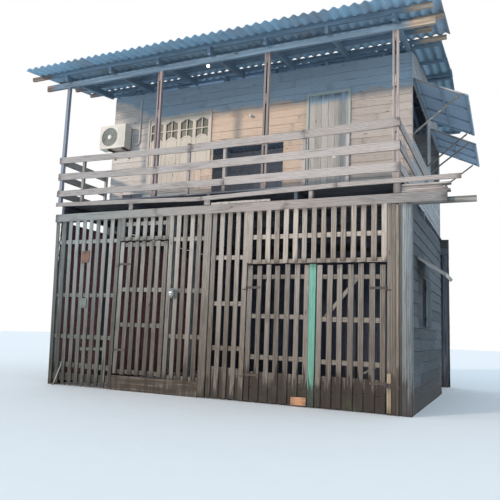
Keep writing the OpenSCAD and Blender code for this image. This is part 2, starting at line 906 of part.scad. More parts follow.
// Two struts prop each flap, from the wall beside the opening to the flap's underside
module strut(y, drop) {
    t = 35;
    foot_z = hatch_base + t;
    at = flap_l * 0.85;
    end_x = house_w + seat + at * cos(flap_a);
    end_z = hatch_top + flap_lip - drop - at * sin(flap_a) - seat;
    translate([0, y + t, 0]) rotate([90, 0, 0]) linear_extrude(t)
        polygon([[house_w, foot_z], [end_x, end_z - t], [end_x, end_z], [house_w, foot_z + t]]);
}

module flap_struts() {
    in = 40;
    color(weathered) {
        for (y = [hatch_y - in, hatch_y + front_hatch_w]) strut(y, 0);
        for (y = [rear_hatch_y - in, rear_hatch_y + rear_hatch_w]) strut(y, rear_flap_drop);
    }
}

// Fittings on the front wall
ac_y = wall_y - ac_space - ac_d;

module ac_unit() {
    r = ac_h * 0.4;
    deep = 20;
    bar = 4;
    rim = 50;
    cx = ac_x + r + rim;
    cz = floor_z + ac_z + ac_h / 2;
    color("#d9d3bf") {
        difference() {
            block(ac_x, ac_y, floor_z + ac_z, ac_w, ac_d, ac_h);
            translate([cx, ac_y + deep, cz]) rotate([90, 0, 0]) cylinder(r = r, h = 2 * deep, $fn = 64);
        }
        translate([cx, ac_y + deep, cz]) rotate([90, 0, 0]) union() {
            cylinder(r = r / 4, h = deep, $fn = 40);
            for (k = [0.45, 0.65, 0.85]) difference() {
                cylinder(r = r * k, h = bar, $fn = 48);
                translate([0, 0, -1]) cylinder(r = r * k - bar, h = bar + 2, $fn = 48);
            }
            for (a = [0 : 30 : 330]) rotate([0, 0, a]) translate([0, -bar / 2, 0])
                cube([r - bar / 4, bar, bar]);
        }
    }
}

module ac_bracket() {
    t = 4;
    w = 40;
    up = 200;
    color(metal) for (x = [ac_x + ac_w / 3, ac_x + ac_w - 2 * w]) union() {
        block(x, ac_y, floor_z + ac_z - w, w, ac_d + ac_space, w);
        block(x, wall_y - t, floor_z + ac_z - up, w, t, up);
    }
}

// The insulated pipe leaves the casing's side, hangs in a loop and rises to the wall's top
module ac_pipe() {
    loop_r = 95;
    x1 = ac_x + ac_w + pipe_r + seat;
    y = wall_y - pipe_r - seat;
    low = floor_z + ac_z + loop_r + ac_h / 5;
    short_top = floor_z + ac_z + ac_h * 3 / 5;
    long_top = wall_top - ac_h / 4;
    color("#e6e3da") union() {
        translate([x1, y, low]) cylinder(r = pipe_r, h = short_top - low, $fn = 24);
        translate([x1 + loop_r, y, low]) rotate([90, 180, 0])
            rotate_extrude(angle = 180, $fn = 48) translate([loop_r, 0]) circle(r = pipe_r, $fn = 24);
        translate([x1 + 2 * loop_r, y, low]) cylinder(r = pipe_r, h = long_top - low, $fn = 24);
    }
}

// A lamp on a short stem under the second purlin
module bulb() {
    rose_r = 30;
    rose_h = 20;
    drop = 110;
    x = (2 + bulb_share / 100) * tall_post_pitch / 2 - veranda_lip;
    color("#fbf7e6") veranda_slope() translate([x, purlin_y(1) + timber_w / 2, rafter_h])
        union() {
            translate([0, 0, -rose_h]) cylinder(r = rose_r, h = rose_h, $fn = 32);
            rotate([-veranda_a, 0, 0]) {
                translate([0, 0, -drop]) cylinder(r = bulb_r / 2, h = drop - rose_h / 2, $fn = 24);
                translate([0, 0, -drop - bulb_r / 2]) sphere(r = bulb_r, $fn = 32);
            }
        }
}

// Everything stands in a plan centred on the origin
module place() {
    translate([-plan_x, -plan_y, 0]) children();
}

place() front_posts();
place() inner_posts();
place() front_beam();
place() inner_beams();
place() side_beam();
place() floor_joists();
place() floor_boards();
place() deck_edge_board();
place() fence_left();
place() fence_over_small_gate();
place() fence_middle();
place() fence_right();
place() fence_over_large_gate();
place() corner_boards();
place() gate_sill();
place() gate_hinges();
place() small_gate();
place() small_gate_straps();
place() large_gate_left();
place() left_leaf_straps();
place() green_board();
place() large_gate_right();
place() right_leaf_straps();
place() electricity_meter();
place() ground_right_wall();
place() ground_left_wall();
place() ground_rear_wall();
place() side_window_shutter();
place() side_awning();
place() front_wall_left();
place() front_wall_over_opening();
place() front_wall_right();
place() front_frames();
place() window_leaves();
place() window_glass();
place() upper_door();
place() right_wall_lower();
place() right_wall_piers();
place() right_wall_upper();
place() left_wall();
place() rear_wall();
place() veranda_posts();
place() front_railing();
place() left_railing();
place() right_railing();
place() veranda_frame();
place() main_frame();
place() veranda_roof();
place() main_roof_front();
place() main_roof_rear();
place() ridge_cap();
place() front_flap();
place() rear_flap();
place() flap_struts();
place() ac_unit();
place() ac_bracket();
place() ac_pipe();
place() bulb();
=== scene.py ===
"""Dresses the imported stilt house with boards, sheets and fittings, true to scale, in metres."""

import functools
import math

import bpy
import numpy as np
from mathutils import Matrix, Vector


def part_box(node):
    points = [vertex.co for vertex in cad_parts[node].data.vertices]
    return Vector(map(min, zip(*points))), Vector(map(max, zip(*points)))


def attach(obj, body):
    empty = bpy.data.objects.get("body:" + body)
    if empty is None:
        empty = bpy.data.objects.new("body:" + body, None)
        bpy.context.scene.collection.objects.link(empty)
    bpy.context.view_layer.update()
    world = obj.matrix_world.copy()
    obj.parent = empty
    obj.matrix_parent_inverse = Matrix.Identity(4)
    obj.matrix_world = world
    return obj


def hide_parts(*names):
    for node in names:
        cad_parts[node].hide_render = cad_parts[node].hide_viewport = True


bl_info = {
    "name": "Stilt house",
    "version": (1, 0, 0),
    "blender": (4, 5, 0),
    "location": "View3D > Sidebar > House",
    "description": "Boards, roof sheets and fittings over the packed model of a stilt house",
    "category": "Add Mesh",
}

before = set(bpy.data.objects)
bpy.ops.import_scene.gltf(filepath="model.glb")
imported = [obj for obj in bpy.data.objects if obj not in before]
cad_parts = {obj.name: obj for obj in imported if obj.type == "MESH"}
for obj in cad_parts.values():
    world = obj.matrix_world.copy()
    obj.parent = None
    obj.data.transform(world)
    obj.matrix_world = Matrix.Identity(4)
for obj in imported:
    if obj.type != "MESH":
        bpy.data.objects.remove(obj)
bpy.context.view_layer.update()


def corner(node, which):
    """Lowest (0) or highest (1) corner of a CAD node, as an array in metres."""
    return np.array(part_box(node)[which], float)


# The house's own origin: the foot of the fence's left corner, on the fence's front face
HOME = np.array([corner("front_posts", 0)[0], corner("fence_left", 0)[1], 0.0])


def span(node):
    """Lowest and highest corners of a CAD node, measured from the house's own origin."""
    return corner(node, 0) - HOME, corner(node, 1) - HOME


FLOOR_Z = span("floor_boards")[1][2]
WALL_Y = span("front_wall_left")[0][1]
WALL_T = 0.04
HOUSE_W = span("front_wall_right")[1][0]
WALL_TOP = span("front_wall_right")[1][2]
REAR_Y = span("rear_wall")[1][1]
X, Y, Z = np.eye(3)
STREET = (0, -1, 0)

# The gap left between two pieces that lie against each other
HAIR = 0.0005

# Fence sizes that the panel doesn't show: thicknesses, and where a board behind the slats starts
SLAT_T = 0.022
RAIL_T = 0.03
BEHIND_SLATS = SLAT_T + HAIR

# A board's corner takes this much of its narrow face at most, and it bows this much per metre
CORNER_SHARE = 0.3
BOW_PER_METRE = 0.002
ATTRIBUTES = (("grain", "FLOAT_VECTOR", "vector"), ("tone", "FLOAT", "value"), ("ends", "FLOAT", "value"))


# Shapes


def sizes():
    """The sizes that the panel shows."""
    return bpy.context.scene.house_sizes


def colours():
    """The colours that the panel shows."""
    return bpy.context.scene.house_colours


def linear(r, g, b):
    """Linear colour of a display colour given in 0 to 255."""
    c = np.array([r, g, b], float) / 255
    c = np.where(c <= 0.04045, c / 12.92, ((c + 0.055) / 1.055) ** 2.4)
    return (*[float(v) for v in c], 1.0)


def shade_of(colour):
    """A linear colour from three display values, 0 to 255, or from four linear ones."""
    colour = tuple(colour)
    return linear(*colour) if len(colour) == 3 else colour


def cap_quads(count):
    """Quads that close a ring of an even count of points, cut straight across."""
    i = np.arange(count // 2 - 1)
    return np.stack([i, i + 1, count - 2 - i, count - 1 - i], 1)


def loft(rings, closed_path=False):
    """Skin over rings of points, rings (n, k, 3): point j of ring i joins point j of ring i + 1.
    Its first and last rings are closed flat, unless the path is a loop."""
    n, k = rings.shape[:2]
    i = np.arange(n if closed_path else n - 1)[:, None]
    j = np.arange(k)[None, :]
    here, there = i * k, ((i + 1) % n) * k
    after = (j + 1) % k
    quads = np.stack([here + j, here + after, there + after, there + j], 2).reshape(-1, 4)
    if not closed_path:
        quads = np.concatenate([quads, cap_quads(k)[:, ::-1], cap_quads(k) + (n - 1) * k])
    return {"verts": rings.reshape(-1, 3), "quads": quads}


def outwards(part):
    """The same skin with its faces turned outwards, by the sign of its enclosed volume."""
    v, q = part["verts"], part["quads"]
    a, b, c, d = (v[q[:, m]] - v.mean(0) for m in range(4))
    if (a * np.cross(b, c)).sum() + (a * np.cross(c, d)).sum() < 0:
        part["quads"] = q[:, ::-1]
    return part


def circle(radius, sides):
    """Points of a circle in its own plane, as two arrays: radius cos a and radius sin a."""
    a = np.linspace(0, 2 * np.pi, sides, endpoint=False)
    return radius * np.cos(a), radius * np.sin(a)


def points(x, y, z):
    """Points from three arrays or numbers of one shape."""
    return np.stack(np.broadcast_arrays(x, y, z), -1)


def tube(path, radius, sides=10, loop=False):
    """Round bar: a circle of the given radius carried square to the path's direction."""
    p = np.asarray(path, float)
    t = np.roll(p, -1, 0) - np.roll(p, 1, 0) if loop else np.gradient(p, axis=0)
    t /= np.linalg.norm(t, axis=1, keepdims=True)
    s = np.cross(t, np.eye(3)[np.abs(t).max(0).argmin()])
    s /= np.linalg.norm(s, axis=1, keepdims=True)
    w = np.cross(t, s)
    c, d = (e[None, :, None] for e in circle(1.0, sides))
    r = np.broadcast_to(np.asarray(radius, float), (len(p),))[:, None, None]
    return outwards(loft(p[:, None] + r * (c * s[:, None] + d * w[:, None]), loop))


def lathe(profile, centre, axis, sides=32):
    """Turned body: each (radius, height) of the profile swept round the axis through centre."""
    k = np.asarray(axis, float)
    s = np.cross(k, X if abs(k[0]) < 0.9 else Y)
    s /= np.linalg.norm(s)
    c, d = circle(1.0, sides)
    ring = c[:, None] * s + d[:, None] * np.cross(k, s)
    r, h = np.asarray(profile, float).T[:, :, None, None]
    return outwards(loft(np.asarray(centre) + r * ring[None] + h * k))


def repeated(quads, size, count):
    """The quads of a skin of so many points, once for each copy of it."""
    return (quads[None] + size * np.arange(count)[:, None, None]).reshape(-1, 4)


def stamped(part, places):
    """Copies of one small skin, moved to each place."""
    places = np.asarray(places, float)
    verts = (part["verts"][None] + places[:, None]).reshape(-1, 3)
    return {"verts": verts, "quads": repeated(part["quads"], len(part["verts"]), len(places))}


def joined(parts):
    """Several skins as one."""
    at = np.cumsum([0] + [len(p["verts"]) for p in parts[:-1]])
    quads = np.concatenate([p["quads"] + k for p, k in zip(parts, at)])
    return {"verts": np.concatenate([p["verts"] for p in parts]), "quads": quads}


def plank(at, along, across, thick, skew=(0, 0)):
    """One row for boards(): four vectors and how far its far side's ends are drawn in."""
    return (*(np.array(v, float) for v in (at, along, across, thick)), skew)


def boards(rows, seed, bend=0.004, edge=0.0015, steps=10, chamfer=0.0025):
    """Sawn boards as one skin. Each row is (start, along, across, thick, skews): a point and three
    edges, and how far the far side's two ends are drawn in. A point of a board is
    start + u along + v across + w thick, with v and w on a chamfered rectangle, plus a bow of
    sin(pi u) and a twist of (u - 1/2)(v - 1/2) out of the face and three sines of u on each sawn
    edge. The grain attribute holds u, v, w in metres, tone a number for each board and ends the
    distance to the nearer end."""
    rng = np.random.default_rng(seed)
    start, along, across, thick, skew = (np.array([r[m] for r in rows], float) for m in range(5))
    wrong = np.einsum("bi,bi->b", np.cross(along, across), thick)[:, None] > 0
    start, across = np.where(wrong, start + across, start), np.where(wrong, -across, across)
    length, width, depth = (np.linalg.norm(e, axis=1) for e in (along, across, thick))
    dirs = np.stack([along, across, thick], 1) / np.stack([length, width, depth], 1)[..., None]
    count, u = len(rows), np.linspace(0, 1, steps + 1)[None, :, None]
    cv, cw = (np.minimum(chamfer / e, CORNER_SHARE) for e in (width, depth))
    o, i = np.zeros(count), np.ones(count)
    v = np.stack([cv, i - cv, i, i, i - cv, cv, o, o], 1)
    w = np.stack([o, o, cw, i - cw, i, i, i - cw, cw], 1)
    far = np.where(wrong, 1 - v, v)
    s0, s1 = skew[:, :1] * far, skew[:, 1:] * far
    run = u * (length[:, None] - s0 - s1)[:, None, :] + s0[:, None, :]
    bow = rng.uniform(-1, 1, (count, 1, 1)) * np.sin(np.pi * u)
    twist = rng.uniform(-2, 2, (count, 1, 1)) * (u - 0.5) * (v[:, None, :] - 0.5)
    saw = 0
    for k in (1, 2, 5):
        phase = rng.uniform(0, 2 * np.pi, (count, 1, 2))
        height = rng.uniform(0.2, 1, (count, 1, 2)) / (k**0.5 * 2)
        saw = saw + height * np.sin(2 * np.pi * k * u + phase)
    side = edge * np.where(v[:, None, :] < 0.5, saw[..., :1], saw[..., 1:])
    out = np.minimum(bend, length * BOW_PER_METRE)[:, None, None] * (bow + twist)
    flat = points(run, (v * width[:, None])[:, None], (w * depth[:, None])[:, None])
    bent = flat + points(0 * run, side, out)
    verts = start[:, None, None] + np.einsum("bnki,bij->bnkj", bent, dirs)
    n, k = run.shape[1:]
    tone = rng.uniform(0, 1, count)
    shift = rng.uniform(0, 40, (count, 3))[:, None, None]
    return {
        "verts": verts.reshape(-1, 3),
        "quads": repeated(loft(np.zeros((n, k, 3)))["quads"], n * k, count),
        "grain": (flat + shift).reshape(-1, 3),
        "tone": np.repeat(tone, n * k),
        "ends": np.minimum(run, length[:, None, None] - run).reshape(-1),
    }


def show(name, part, material, nodes=(), body="house", smooth=False):
    """Makes one piece of the scene from a skin, which stands for the CAD nodes given."""
    part = joined(part) if isinstance(part, list) else part
    mesh = bpy.data.meshes.new(name)
    verts = part["verts"] + HOME
    quads = part["quads"].astype(np.int32)
    mesh.vertices.add(len(verts))
    mesh.vertices.foreach_set("co", verts.astype(np.float32).ravel())
    mesh.loops.add(quads.size)
    mesh.loops.foreach_set("vertex_index", quads.ravel())
    mesh.polygons.add(len(quads))
    mesh.polygons.foreach_set("loop_start", np.arange(len(quads), dtype=np.int32) * 4)
    mesh.polygons.foreach_set("use_smooth", np.full(len(quads), smooth))
    for key, kind, field in ATTRIBUTES:
        if key in part:
            data = mesh.attributes.new(key, kind, "POINT").data
            data.foreach_set(field, part[key].astype(np.float32).ravel())
    mesh.update(calc_edges=True)
    if smooth:
        mesh.set_sharp_from_angle(angle=math.radians(38))
    if mesh.validate():
        raise RuntimeError(f"{name}: the mesh had faults")
    mesh.materials.append(material)
    piece = bpy.data.objects.new(name, mesh)
    bpy.context.scene.collection.objects.link(piece)
    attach(piece, body)
    if nodes:
        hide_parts(*nodes)
    return piece


def lay(name, rows, wood, seed, shape=(), nodes=(), body="house"):
    """Shows rows of boards; shape is their bend, edge, steps and chamfer, as far as given."""
    return show(name, boards(rows, seed, *shape), wood, nodes, body)


def finish_node(node, material, bevel=0.0):
    """Gives a CAD node a better material, and its edges a small worn rounding."""
    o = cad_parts[node]
    o.data.materials.clear()
    o.data.materials.append(material)
    if bevel:
        m = o.modifiers.new("worn edges", "BEVEL")
        m.width, m.segments, m.limit_method = bevel, 2, "ANGLE"
        m.angle_limit = math.radians(40)


# Materials


class Wires:
    """Short ways to add nodes to a tree; most give back an output that the next one takes."""

    def __init__(self, tree):
        self.tree = tree

    def put(self, kind, values=(), **settings):
        """A node with its settings, and its sockets fed with the values."""
        n = self.tree.nodes.new(kind)
        for key, value in settings.items():
            setattr(n, key, value)
        return self.feed(n, values)

    def feed(self, node, values):
        """Gives each named socket of a node a plain value or another node's output."""
        for key, value in dict(values).items():
            if isinstance(value, bpy.types.NodeSocket):
                self.tree.links.new(value, node.inputs[key])
            else:
                node.inputs[key].default_value = value
        return node

    def noise(self, vector, scale, detail=4.0, roughness=0.55, distortion=0.0):
        """Soft noise from 0 to 1."""
        values = dict(Vector=vector, Scale=scale, Detail=detail, Roughness=roughness, Distortion=distortion)
        return self.put("ShaderNodeTexNoise", values).outputs["Fac"]

    def stretch(self, vector, scale):
        """Coordinates drawn out along the axes whose scale is small."""
        return self.put("ShaderNodeMapping", {"Vector": vector, "Scale": scale}).outputs[0]

    def levels(self, value, low, high, to_low=0.0, to_high=1.0, way="SMOOTHSTEP"):
        """Value carried from low..high to to_low..to_high, smoothly or LINEAR, and clamped."""
        values = {"Value": value, "From Min": low, "From Max": high, "To Min": to_low, "To Max": to_high}
        return self.put("ShaderNodeMapRange", values, interpolation_type=way).outputs["Result"]

    def reckon(self, operation, a, b):
        """A sum of the Math node."""
        return self.put("ShaderNodeMath", {0: a, 1: b}, operation=operation).outputs[0]

    def plus(self, a, b):
        return self.reckon("ADD", a, b)

    def less(self, a, b):
        return self.reckon("SUBTRACT", a, b)

    def times(self, a, b):
        return self.reckon("MULTIPLY", a, b)

    def axes(self, vector):
        """The three parts of a vector."""
        return self.put("ShaderNodeSeparateXYZ", {0: vector}).outputs

    def blend(self, factor, a, b, way="MIX"):
        """Colour a with b laid over it by the factor."""
        a, b = (c if isinstance(c, bpy.types.NodeSocket) else shade_of(c) for c in (a, b))
        values = {0: factor, 6: a, 7: b}
        return self.put("ShaderNodeMix", values, data_type="RGBA", blend_type=way).outputs[2]

    def attribute(self, name, output="Fac"):
        return self.put("ShaderNodeAttribute", attribute_name=name).outputs[output]

    def group(self, name, values):
        """The outputs of a shared node group, which is made the first time it is asked for."""
        tree = bpy.data.node_groups.get(name) or GROUPS[name](name)
        return self.put("ShaderNodeGroup", values, node_tree=tree).outputs

    def colour_at(self, value, place):
        """One colour, or the colour by the place along the street front from stops of (metres from
        the left corner, colour)."""
        if not isinstance(value, list):
            return shade_of(value)
        x = self.levels(self.axes(place)[0], HOME[0] - 1, HOME[0] + 9, way="LINEAR")
        ramp = self.put("ShaderNodeValToRGB", {"Fac": x})
        marks = ramp.color_ramp.elements
        for k, (metres, colour) in enumerate(value):
            at = (metres + 1) / 10
            mark = marks[k] if k < 2 else marks.new(at)
            mark.position, mark.color = at, shade_of(colour)
        return ramp.outputs[0]


def new_group(name, inputs, outputs):
    """An empty node group's wires, inputs and output node. An input's default of None makes it a
    vector, a number a value and four numbers a colour; of the outputs only Color is a colour."""
    tree = bpy.data.node_groups.new(name, "ShaderNodeTree")
    for label, default in inputs.items():
        kind = "Vector" if default is None else "Color" if isinstance(default, tuple) else "Float"
        s = tree.interface.new_socket(label, in_out="INPUT", socket_type="NodeSocket" + kind)
        if default is not None:
            s.default_value = default
    for label in outputs:
        kind = "Color" if label == "Color" else "Float"
        tree.interface.new_socket(label, in_out="OUTPUT", socket_type="NodeSocket" + kind)
    w = Wires(tree)
    return w, w.put("NodeGroupInput").outputs, w.put("NodeGroupOutput")


def timber_group(name):
    """Sawn timber: fibres are noise drawn out 30 to 1 along the grain, rings are a bent wave,
    knots are near centres of stretched cells, and each board's tone shifts the whole."""
    inputs = {
        "Grain": None,
        "Tone": 0.5,
        "Ends": 1.0,
        "Pale": (0.5, 0.45, 0.4, 1),
        "Dark": (0.2, 0.17, 0.15, 1),
        "Variation": 0.5,
        "Stains": 0.5,
        "End Wear": 0.65,
    }
    w, i, out = new_group(name, inputs, ("Color", "Roughness", "Height"))
    grain = i["Grain"]
    fibre = w.noise(w.stretch(grain, (2.5, 90, 90)), 2.0, 5, 0.65)
    bands = {"Scale": 1.6, "Distortion": 5.0, "Detail": 2.5, "Detail Scale": 1.4}
    bands["Vector"] = w.stretch(grain, (0.5, 9, 9))
    rings = w.put("ShaderNodeTexWave", bands, bands_direction="Y").outputs["Fac"]
    cells = {"Vector": w.stretch(grain, (1.1, 5.5, 3)), "Scale": 1.3}
    knot = w.levels(w.put("ShaderNodeTexVoronoi", cells).outputs["Distance"], 0.035, 0.085, 1, 0)
    blotch = w.noise(w.stretch(grain, (0.9, 3.5, 3.5)), 1.7, 5, 0.6, 0.4)
    split = w.levels(w.noise(w.stretch(grain, (0.8, 42, 10)), 1.5, 2, 0.5), 0.68, 0.72)
    shade = w.levels(w.plus(w.times(fibre, 0.7), w.times(rings, 0.3)), 0.28, 0.72)
    shade = w.plus(shade, w.times(w.less(i["Tone"], 0.5), i["Variation"]))
    stain = w.times(w.levels(blotch, 0.5, 0.72), i["Stains"])
    old_end = w.times(w.levels(i["Ends"], 0.0, 0.12, i["End Wear"], 0), w.levels(blotch, 0.35, 0.6))
    color = w.blend(shade, i["Dark"], i["Pale"])
    color = w.blend(stain, color, (0.075, 0.062, 0.055, 1))
    color = w.blend(old_end, color, (0.06, 0.052, 0.05, 1))
    color = w.blend(w.times(knot, 0.75), color, (0.035, 0.022, 0.016, 1))
    color = w.blend(w.times(split, 0.6), color, (0.03, 0.026, 0.024, 1))
    rough = w.levels(fibre, 0.2, 0.8, 0.95, 0.72)
    w.feed(out, {"Color": color, "Roughness": rough, "Height": w.less(shade, split)})
    return w.tree


def weather_group(name):
    """Weather by place: damp and soil rise from the ground to a ragged line, green algae sits in
    it, grey runs hang down, and the colour turns browner and darker from the floor's height down to the
    ground.
    Position is in metres above the ground."""
    inputs = {
        "Position": None,
        "Color": (0.5, 0.5, 0.5, 1),
        "Damp Top": 0.5,
        "Damp": 0.8,
        "Ragged": 0.35,
        "Runs": 0.3,
        "Grime": 0.0,
    }
    w, i, out = new_group(name, inputs, ("Color", "Wet"))
    place = i["Position"]
    z = w.axes(place)[2]
    ragged = w.noise(w.stretch(place, (12, 12, 1.2)), 1.3, 5, 0.6)
    sway = w.times(w.levels(ragged, 0.3, 0.7, 1, -1), i["Ragged"])
    low = w.reckon("DIVIDE", w.less(w.plus(z, sway), i["Damp Top"]), i["Ragged"])
    wet = w.times(w.levels(low, -0.5, 0.5, 1, 0), i["Damp"])
    algae = w.times(w.levels(w.noise(place, 3.5, 4), 0.5, 0.75), wet)
    run = w.noise(w.stretch(place, (9, 9, 0.55)), 2.2, 5, 0.6, 0.2)
    run = w.times(w.levels(run, 0.5, 0.75), i["Runs"])
    # Browner and darker from the floor's height down to the ground.
    brown = w.times(w.levels(z, 0.5, 3.2, 1, 0), i["Grime"])
    color = w.blend(run, i["Color"], (0.13, 0.125, 0.125, 1))
    color = w.blend(brown, color, (0.43, 0.395, 0.36, 1), "MULTIPLY")
    color = w.blend(wet, color, (0.038, 0.029, 0.024, 1))
    color = w.blend(w.times(algae, 0.35), color, (0.07, 0.085, 0.045, 1))
    w.feed(out, {"Color": color, "Wet": wet})
    return w.tree


def wear_group(name):
    """Worn cover: a mask that is 1 where paint, enamel or a skin has gone, in small flakes that
    gather in blotches, and a dust mask of broad soft noise."""
    inputs = {"Position": None, "Flake Size": 20.0, "Amount": 0.5}
    w, i, out = new_group(name, inputs, ("Worn", "Dust", "Height"))
    flakes = w.noise(i["Position"], i["Flake Size"], 8, 0.65, 0.3)
    broad = w.noise(i["Position"], 1.6, 3, 0.5)
    both = w.plus(w.times(flakes, 0.6), w.times(broad, 0.4))
    worn = w.levels(w.plus(both, w.times(i["Amount"], 0.2)), 0.62, 0.66)
    w.feed(out, {"Worn": worn, "Dust": w.levels(broad, 0.35, 0.7), "Height": w.less(1.0, worn)})
    return w.tree


GROUPS = {"sawn timber": timber_group, "weather": weather_group, "worn cover": wear_group}


class Surface(Wires):
    """The wires of a new material, with its surface shader and its piece's Object coordinates."""

    def __init__(self, name, roughness=0.7, specular=0.5):
        self.material = bpy.data.materials.new(name)
        self.material.use_nodes = True
        super().__init__(self.material.node_tree)
        self.shader = self.tree.nodes["Principled BSDF"]
        self.feed(self.shader, {"Roughness": roughness, "Specular IOR Level": specular})
        self.place = self.put("ShaderNodeTexCoord").outputs["Object"]

    def dress(self, values, height=None, depth=0.0, strength=0.6):
        """Feeds the shader its values and, through a bump, a height; gives back the material."""
        self.feed(self.shader, values)
        if height:
            dents = self.put("ShaderNodeBump", dict(Height=height, Distance=depth, Strength=strength))
            self.feed(self.shader, {"Normal": dents.outputs[0]})
        return self.material


def once(make):
    """A maker of materials that gives back the material of the same name where there is one."""

    @functools.wraps(make)
    def made(name, *given, **named):
        return bpy.data.materials.get(name) or make(name, *given, **named)

    return made


@once
def timber(
    name,
    pale,
    dark,
    along=None,
    variation=0.5,
    stains=0.35,
    damp_top=0.0,
    damp=0.0,
    runs=0.2,
    ragged=0.35,
    grime=0.0,
    end_wear=0.65,
    high=None,
    top=None,
):
    """Sawn timber. Its pale and dark are colours, or stops along the front; along is None where the
    piece has a grain attribute of its own, or else the axis its grain follows. High is a height, which
    rises towards the left corner, the depth over which the colours change there, and the pale and
    dark above it; top is the pale and dark of faces that look up."""
    s = Surface(name, specular=0.15)
    if along is None:
        grain, tone, ends = s.attribute("grain", "Vector"), s.attribute("tone"), s.attribute("ends")
    else:
        turn = {"x": (0, 0, 0), "y": (0, 0, -math.pi / 2), "z": (0, math.pi / 2, 0)}[along]
        grain = s.put("ShaderNodeMapping", {"Vector": s.place, "Rotation": turn}).outputs[0]
        tone, ends = s.noise(s.place, 0.45, 1), 1.0
    pair = [s.colour_at(c, s.place) for c in (pale, dark)]
    # High paints shade on the walls and the door: above a ragged level, which rises towards the left corner
    # along the slant of the eave's shadow, the colours turn to a blue-grey painted shade. On the fence patch
    # boards it gives their upper part a brown of its own.
    if high:
        level, deep, *raised = high
        z = s.plus(s.axes(s.place)[2], s.levels(s.noise(s.place, 2.5, 3), 0.3, 0.7, -0.06, 0.06))
        z = s.less(z, s.levels(s.axes(s.place)[0], HOME[0], HOME[0] + 1.5, 0.55, 0))
        above = s.levels(z, level - deep / 2, level + deep / 2)
        pair = [s.blend(above, c, other) for c, other in zip(pair, raised)]
    # Top paints shade by the way a face points: on the flap boards the faces that look down keep a pale blue
    # painted sky shade, and those that look up turn grey.
    if top:
        up = s.axes(s.put("ShaderNodeNewGeometry").outputs["True Normal"])[2]
        up = s.levels(up, 0.1, 0.4)
        pair = [s.blend(up, c, other) for c, other in zip(pair, top)]
    values = {"Grain": grain, "Tone": tone, "Ends": ends, "Pale": pair[0], "Dark": pair[1]}
    values |= {"Variation": variation, "Stains": stains, "End Wear": end_wear}
    wood = s.group("sawn timber", values)
    values = {"Position": s.place, "Color": wood["Color"], "Damp Top": damp_top, "Damp": damp}
    aged = s.group("weather", values | {"Ragged": ragged, "Runs": runs, "Grime": grime})
    rough = s.less(wood["Roughness"], s.times(aged["Wet"], 0.25))
    return s.dress({"Base Color": aged["Color"], "Roughness": rough}, wood["Height"], 0.0015)


@once
def covered(name, cover, under, flake=20.0, amount=0.4, roughness=0.5, dust=0.25):
    """A painted, enamelled or moulded cover that has worn through to what is under it, with dust."""
    s = Surface(name, specular=0.3)
    wear = s.group("worn cover", {"Position": s.place, "Flake Size": flake, "Amount": amount})
    color = s.blend(wear["Worn"], s.colour_at(cover, s.place), under)
    color = s.blend(s.times(wear["Dust"], dust), color, (0.36, 0.33, 0.29, 1))
    rough = s.plus(s.times(wear["Worn"], 0.25), roughness)
    return s.dress({"Base Color": color, "Roughness": rough}, wear["Height"], 0.0006)


@once
def fibre_cement(name):
    """Fibre cement, told apart by the way the face points: grey with lichen and soot above; below, painted
    sky shade in pale blue-grey with damp brown patches, darkened by painted shade: least at the eave, more
    past the wall's end and most over the rooms."""
    s, look = Surface(name, specular=0.2), colours()
    top = s.levels(s.axes(s.put("ShaderNodeNewGeometry").outputs["True Normal"])[2], -0.1, 0.1)
    fine = s.noise(s.place, 60, 5, 0.7)
    spots = s.levels(s.noise(s.place, 9, 7, 0.7), 0.55, 0.66)
    broad = s.noise(s.stretch(s.place, (1, 0.35, 1)), 1.3, 5, 0.6, 0.3)
    damp = s.levels(s.noise(s.place, 2.6, 6, 0.65), 0.5, 0.75, 0, 0.5)
    upper = s.blend(s.levels(broad, 0.35, 0.68), look.sheet_above, (78, 80, 80))
    upper = s.blend(s.times(spots, 0.5), upper, (60, 62, 58))
    # The underside's pale blue is painted sky shade.
    lower = s.blend(s.levels(broad, 0.48, 0.7), look.sheet_below_painted_shade, (178, 186, 194))
    lower = s.blend(damp, lower, (134, 162, 186))
    across, back, _ = s.axes(s.place)
    left, street = HOME[:2]
    wall_end, wall = left + HOUSE_W, street + WALL_Y
    # Painted shade over the rooms: behind the wall and within its length the underside turns dark blue-grey.
    over_wall = s.levels(across, wall_end - 0.1, wall_end, 1, 0)
    rooms = s.reckon("MINIMUM", s.levels(back, wall + 0.5, wall + 0.9), over_wall)
    lower = s.blend(rooms, lower, (74, 80, 92))
    # Painted shade: the whole underside is multiplied darker, least at the eave and more past the wall's
    # right end.
    eave = s.levels(back, street - 0.15, street + 0.3, 1, 0)
    shade = s.blend(eave, (0.58, 0.6, 0.66, 1), (0.64, 0.7, 0.78, 1))
    past_wall = s.levels(across, wall_end, wall_end + 0.2)
    side = s.reckon("MINIMUM", past_wall, s.levels(back, wall - 0.3, wall))
    shade = s.blend(side, shade, (0.43, 0.44, 0.47, 1))
    lower = s.blend(1.0, lower, shade, "MULTIPLY")
    color = s.blend(top, lower, upper)
    color = s.blend(s.levels(fine, 0.3, 0.8, 0, 0.25), color, (170, 172, 170))
    rough = s.levels(fine, 0.2, 0.8, 0.95, 0.7)
    return s.dress({"Base Color": color, "Roughness": rough}, fine, 0.0008, 0.5)


@once
def rusted(name):
    """Steel with rust in blotches: metallic only where the steel is bare."""
    s = Surface(name)
    worn = s.group("worn cover", {"Position": s.place, "Flake Size": 90.0, "Amount": 0.6})["Worn"]
    grit = s.noise(s.place, 160, 4, 0.7)
    brown = s.blend(s.levels(grit, 0.3, 0.7), (62, 46, 38), (104, 78, 62))
    values = {"Base Color": s.blend(worn, (84, 82, 80), brown), "Metallic": s.levels(worn, 0, 1, 0.8, 0)}
    return s.dress(values | {"Roughness": s.levels(grit, 0.2, 0.8, 0.6, 0.9)}, grit, 0.0005)


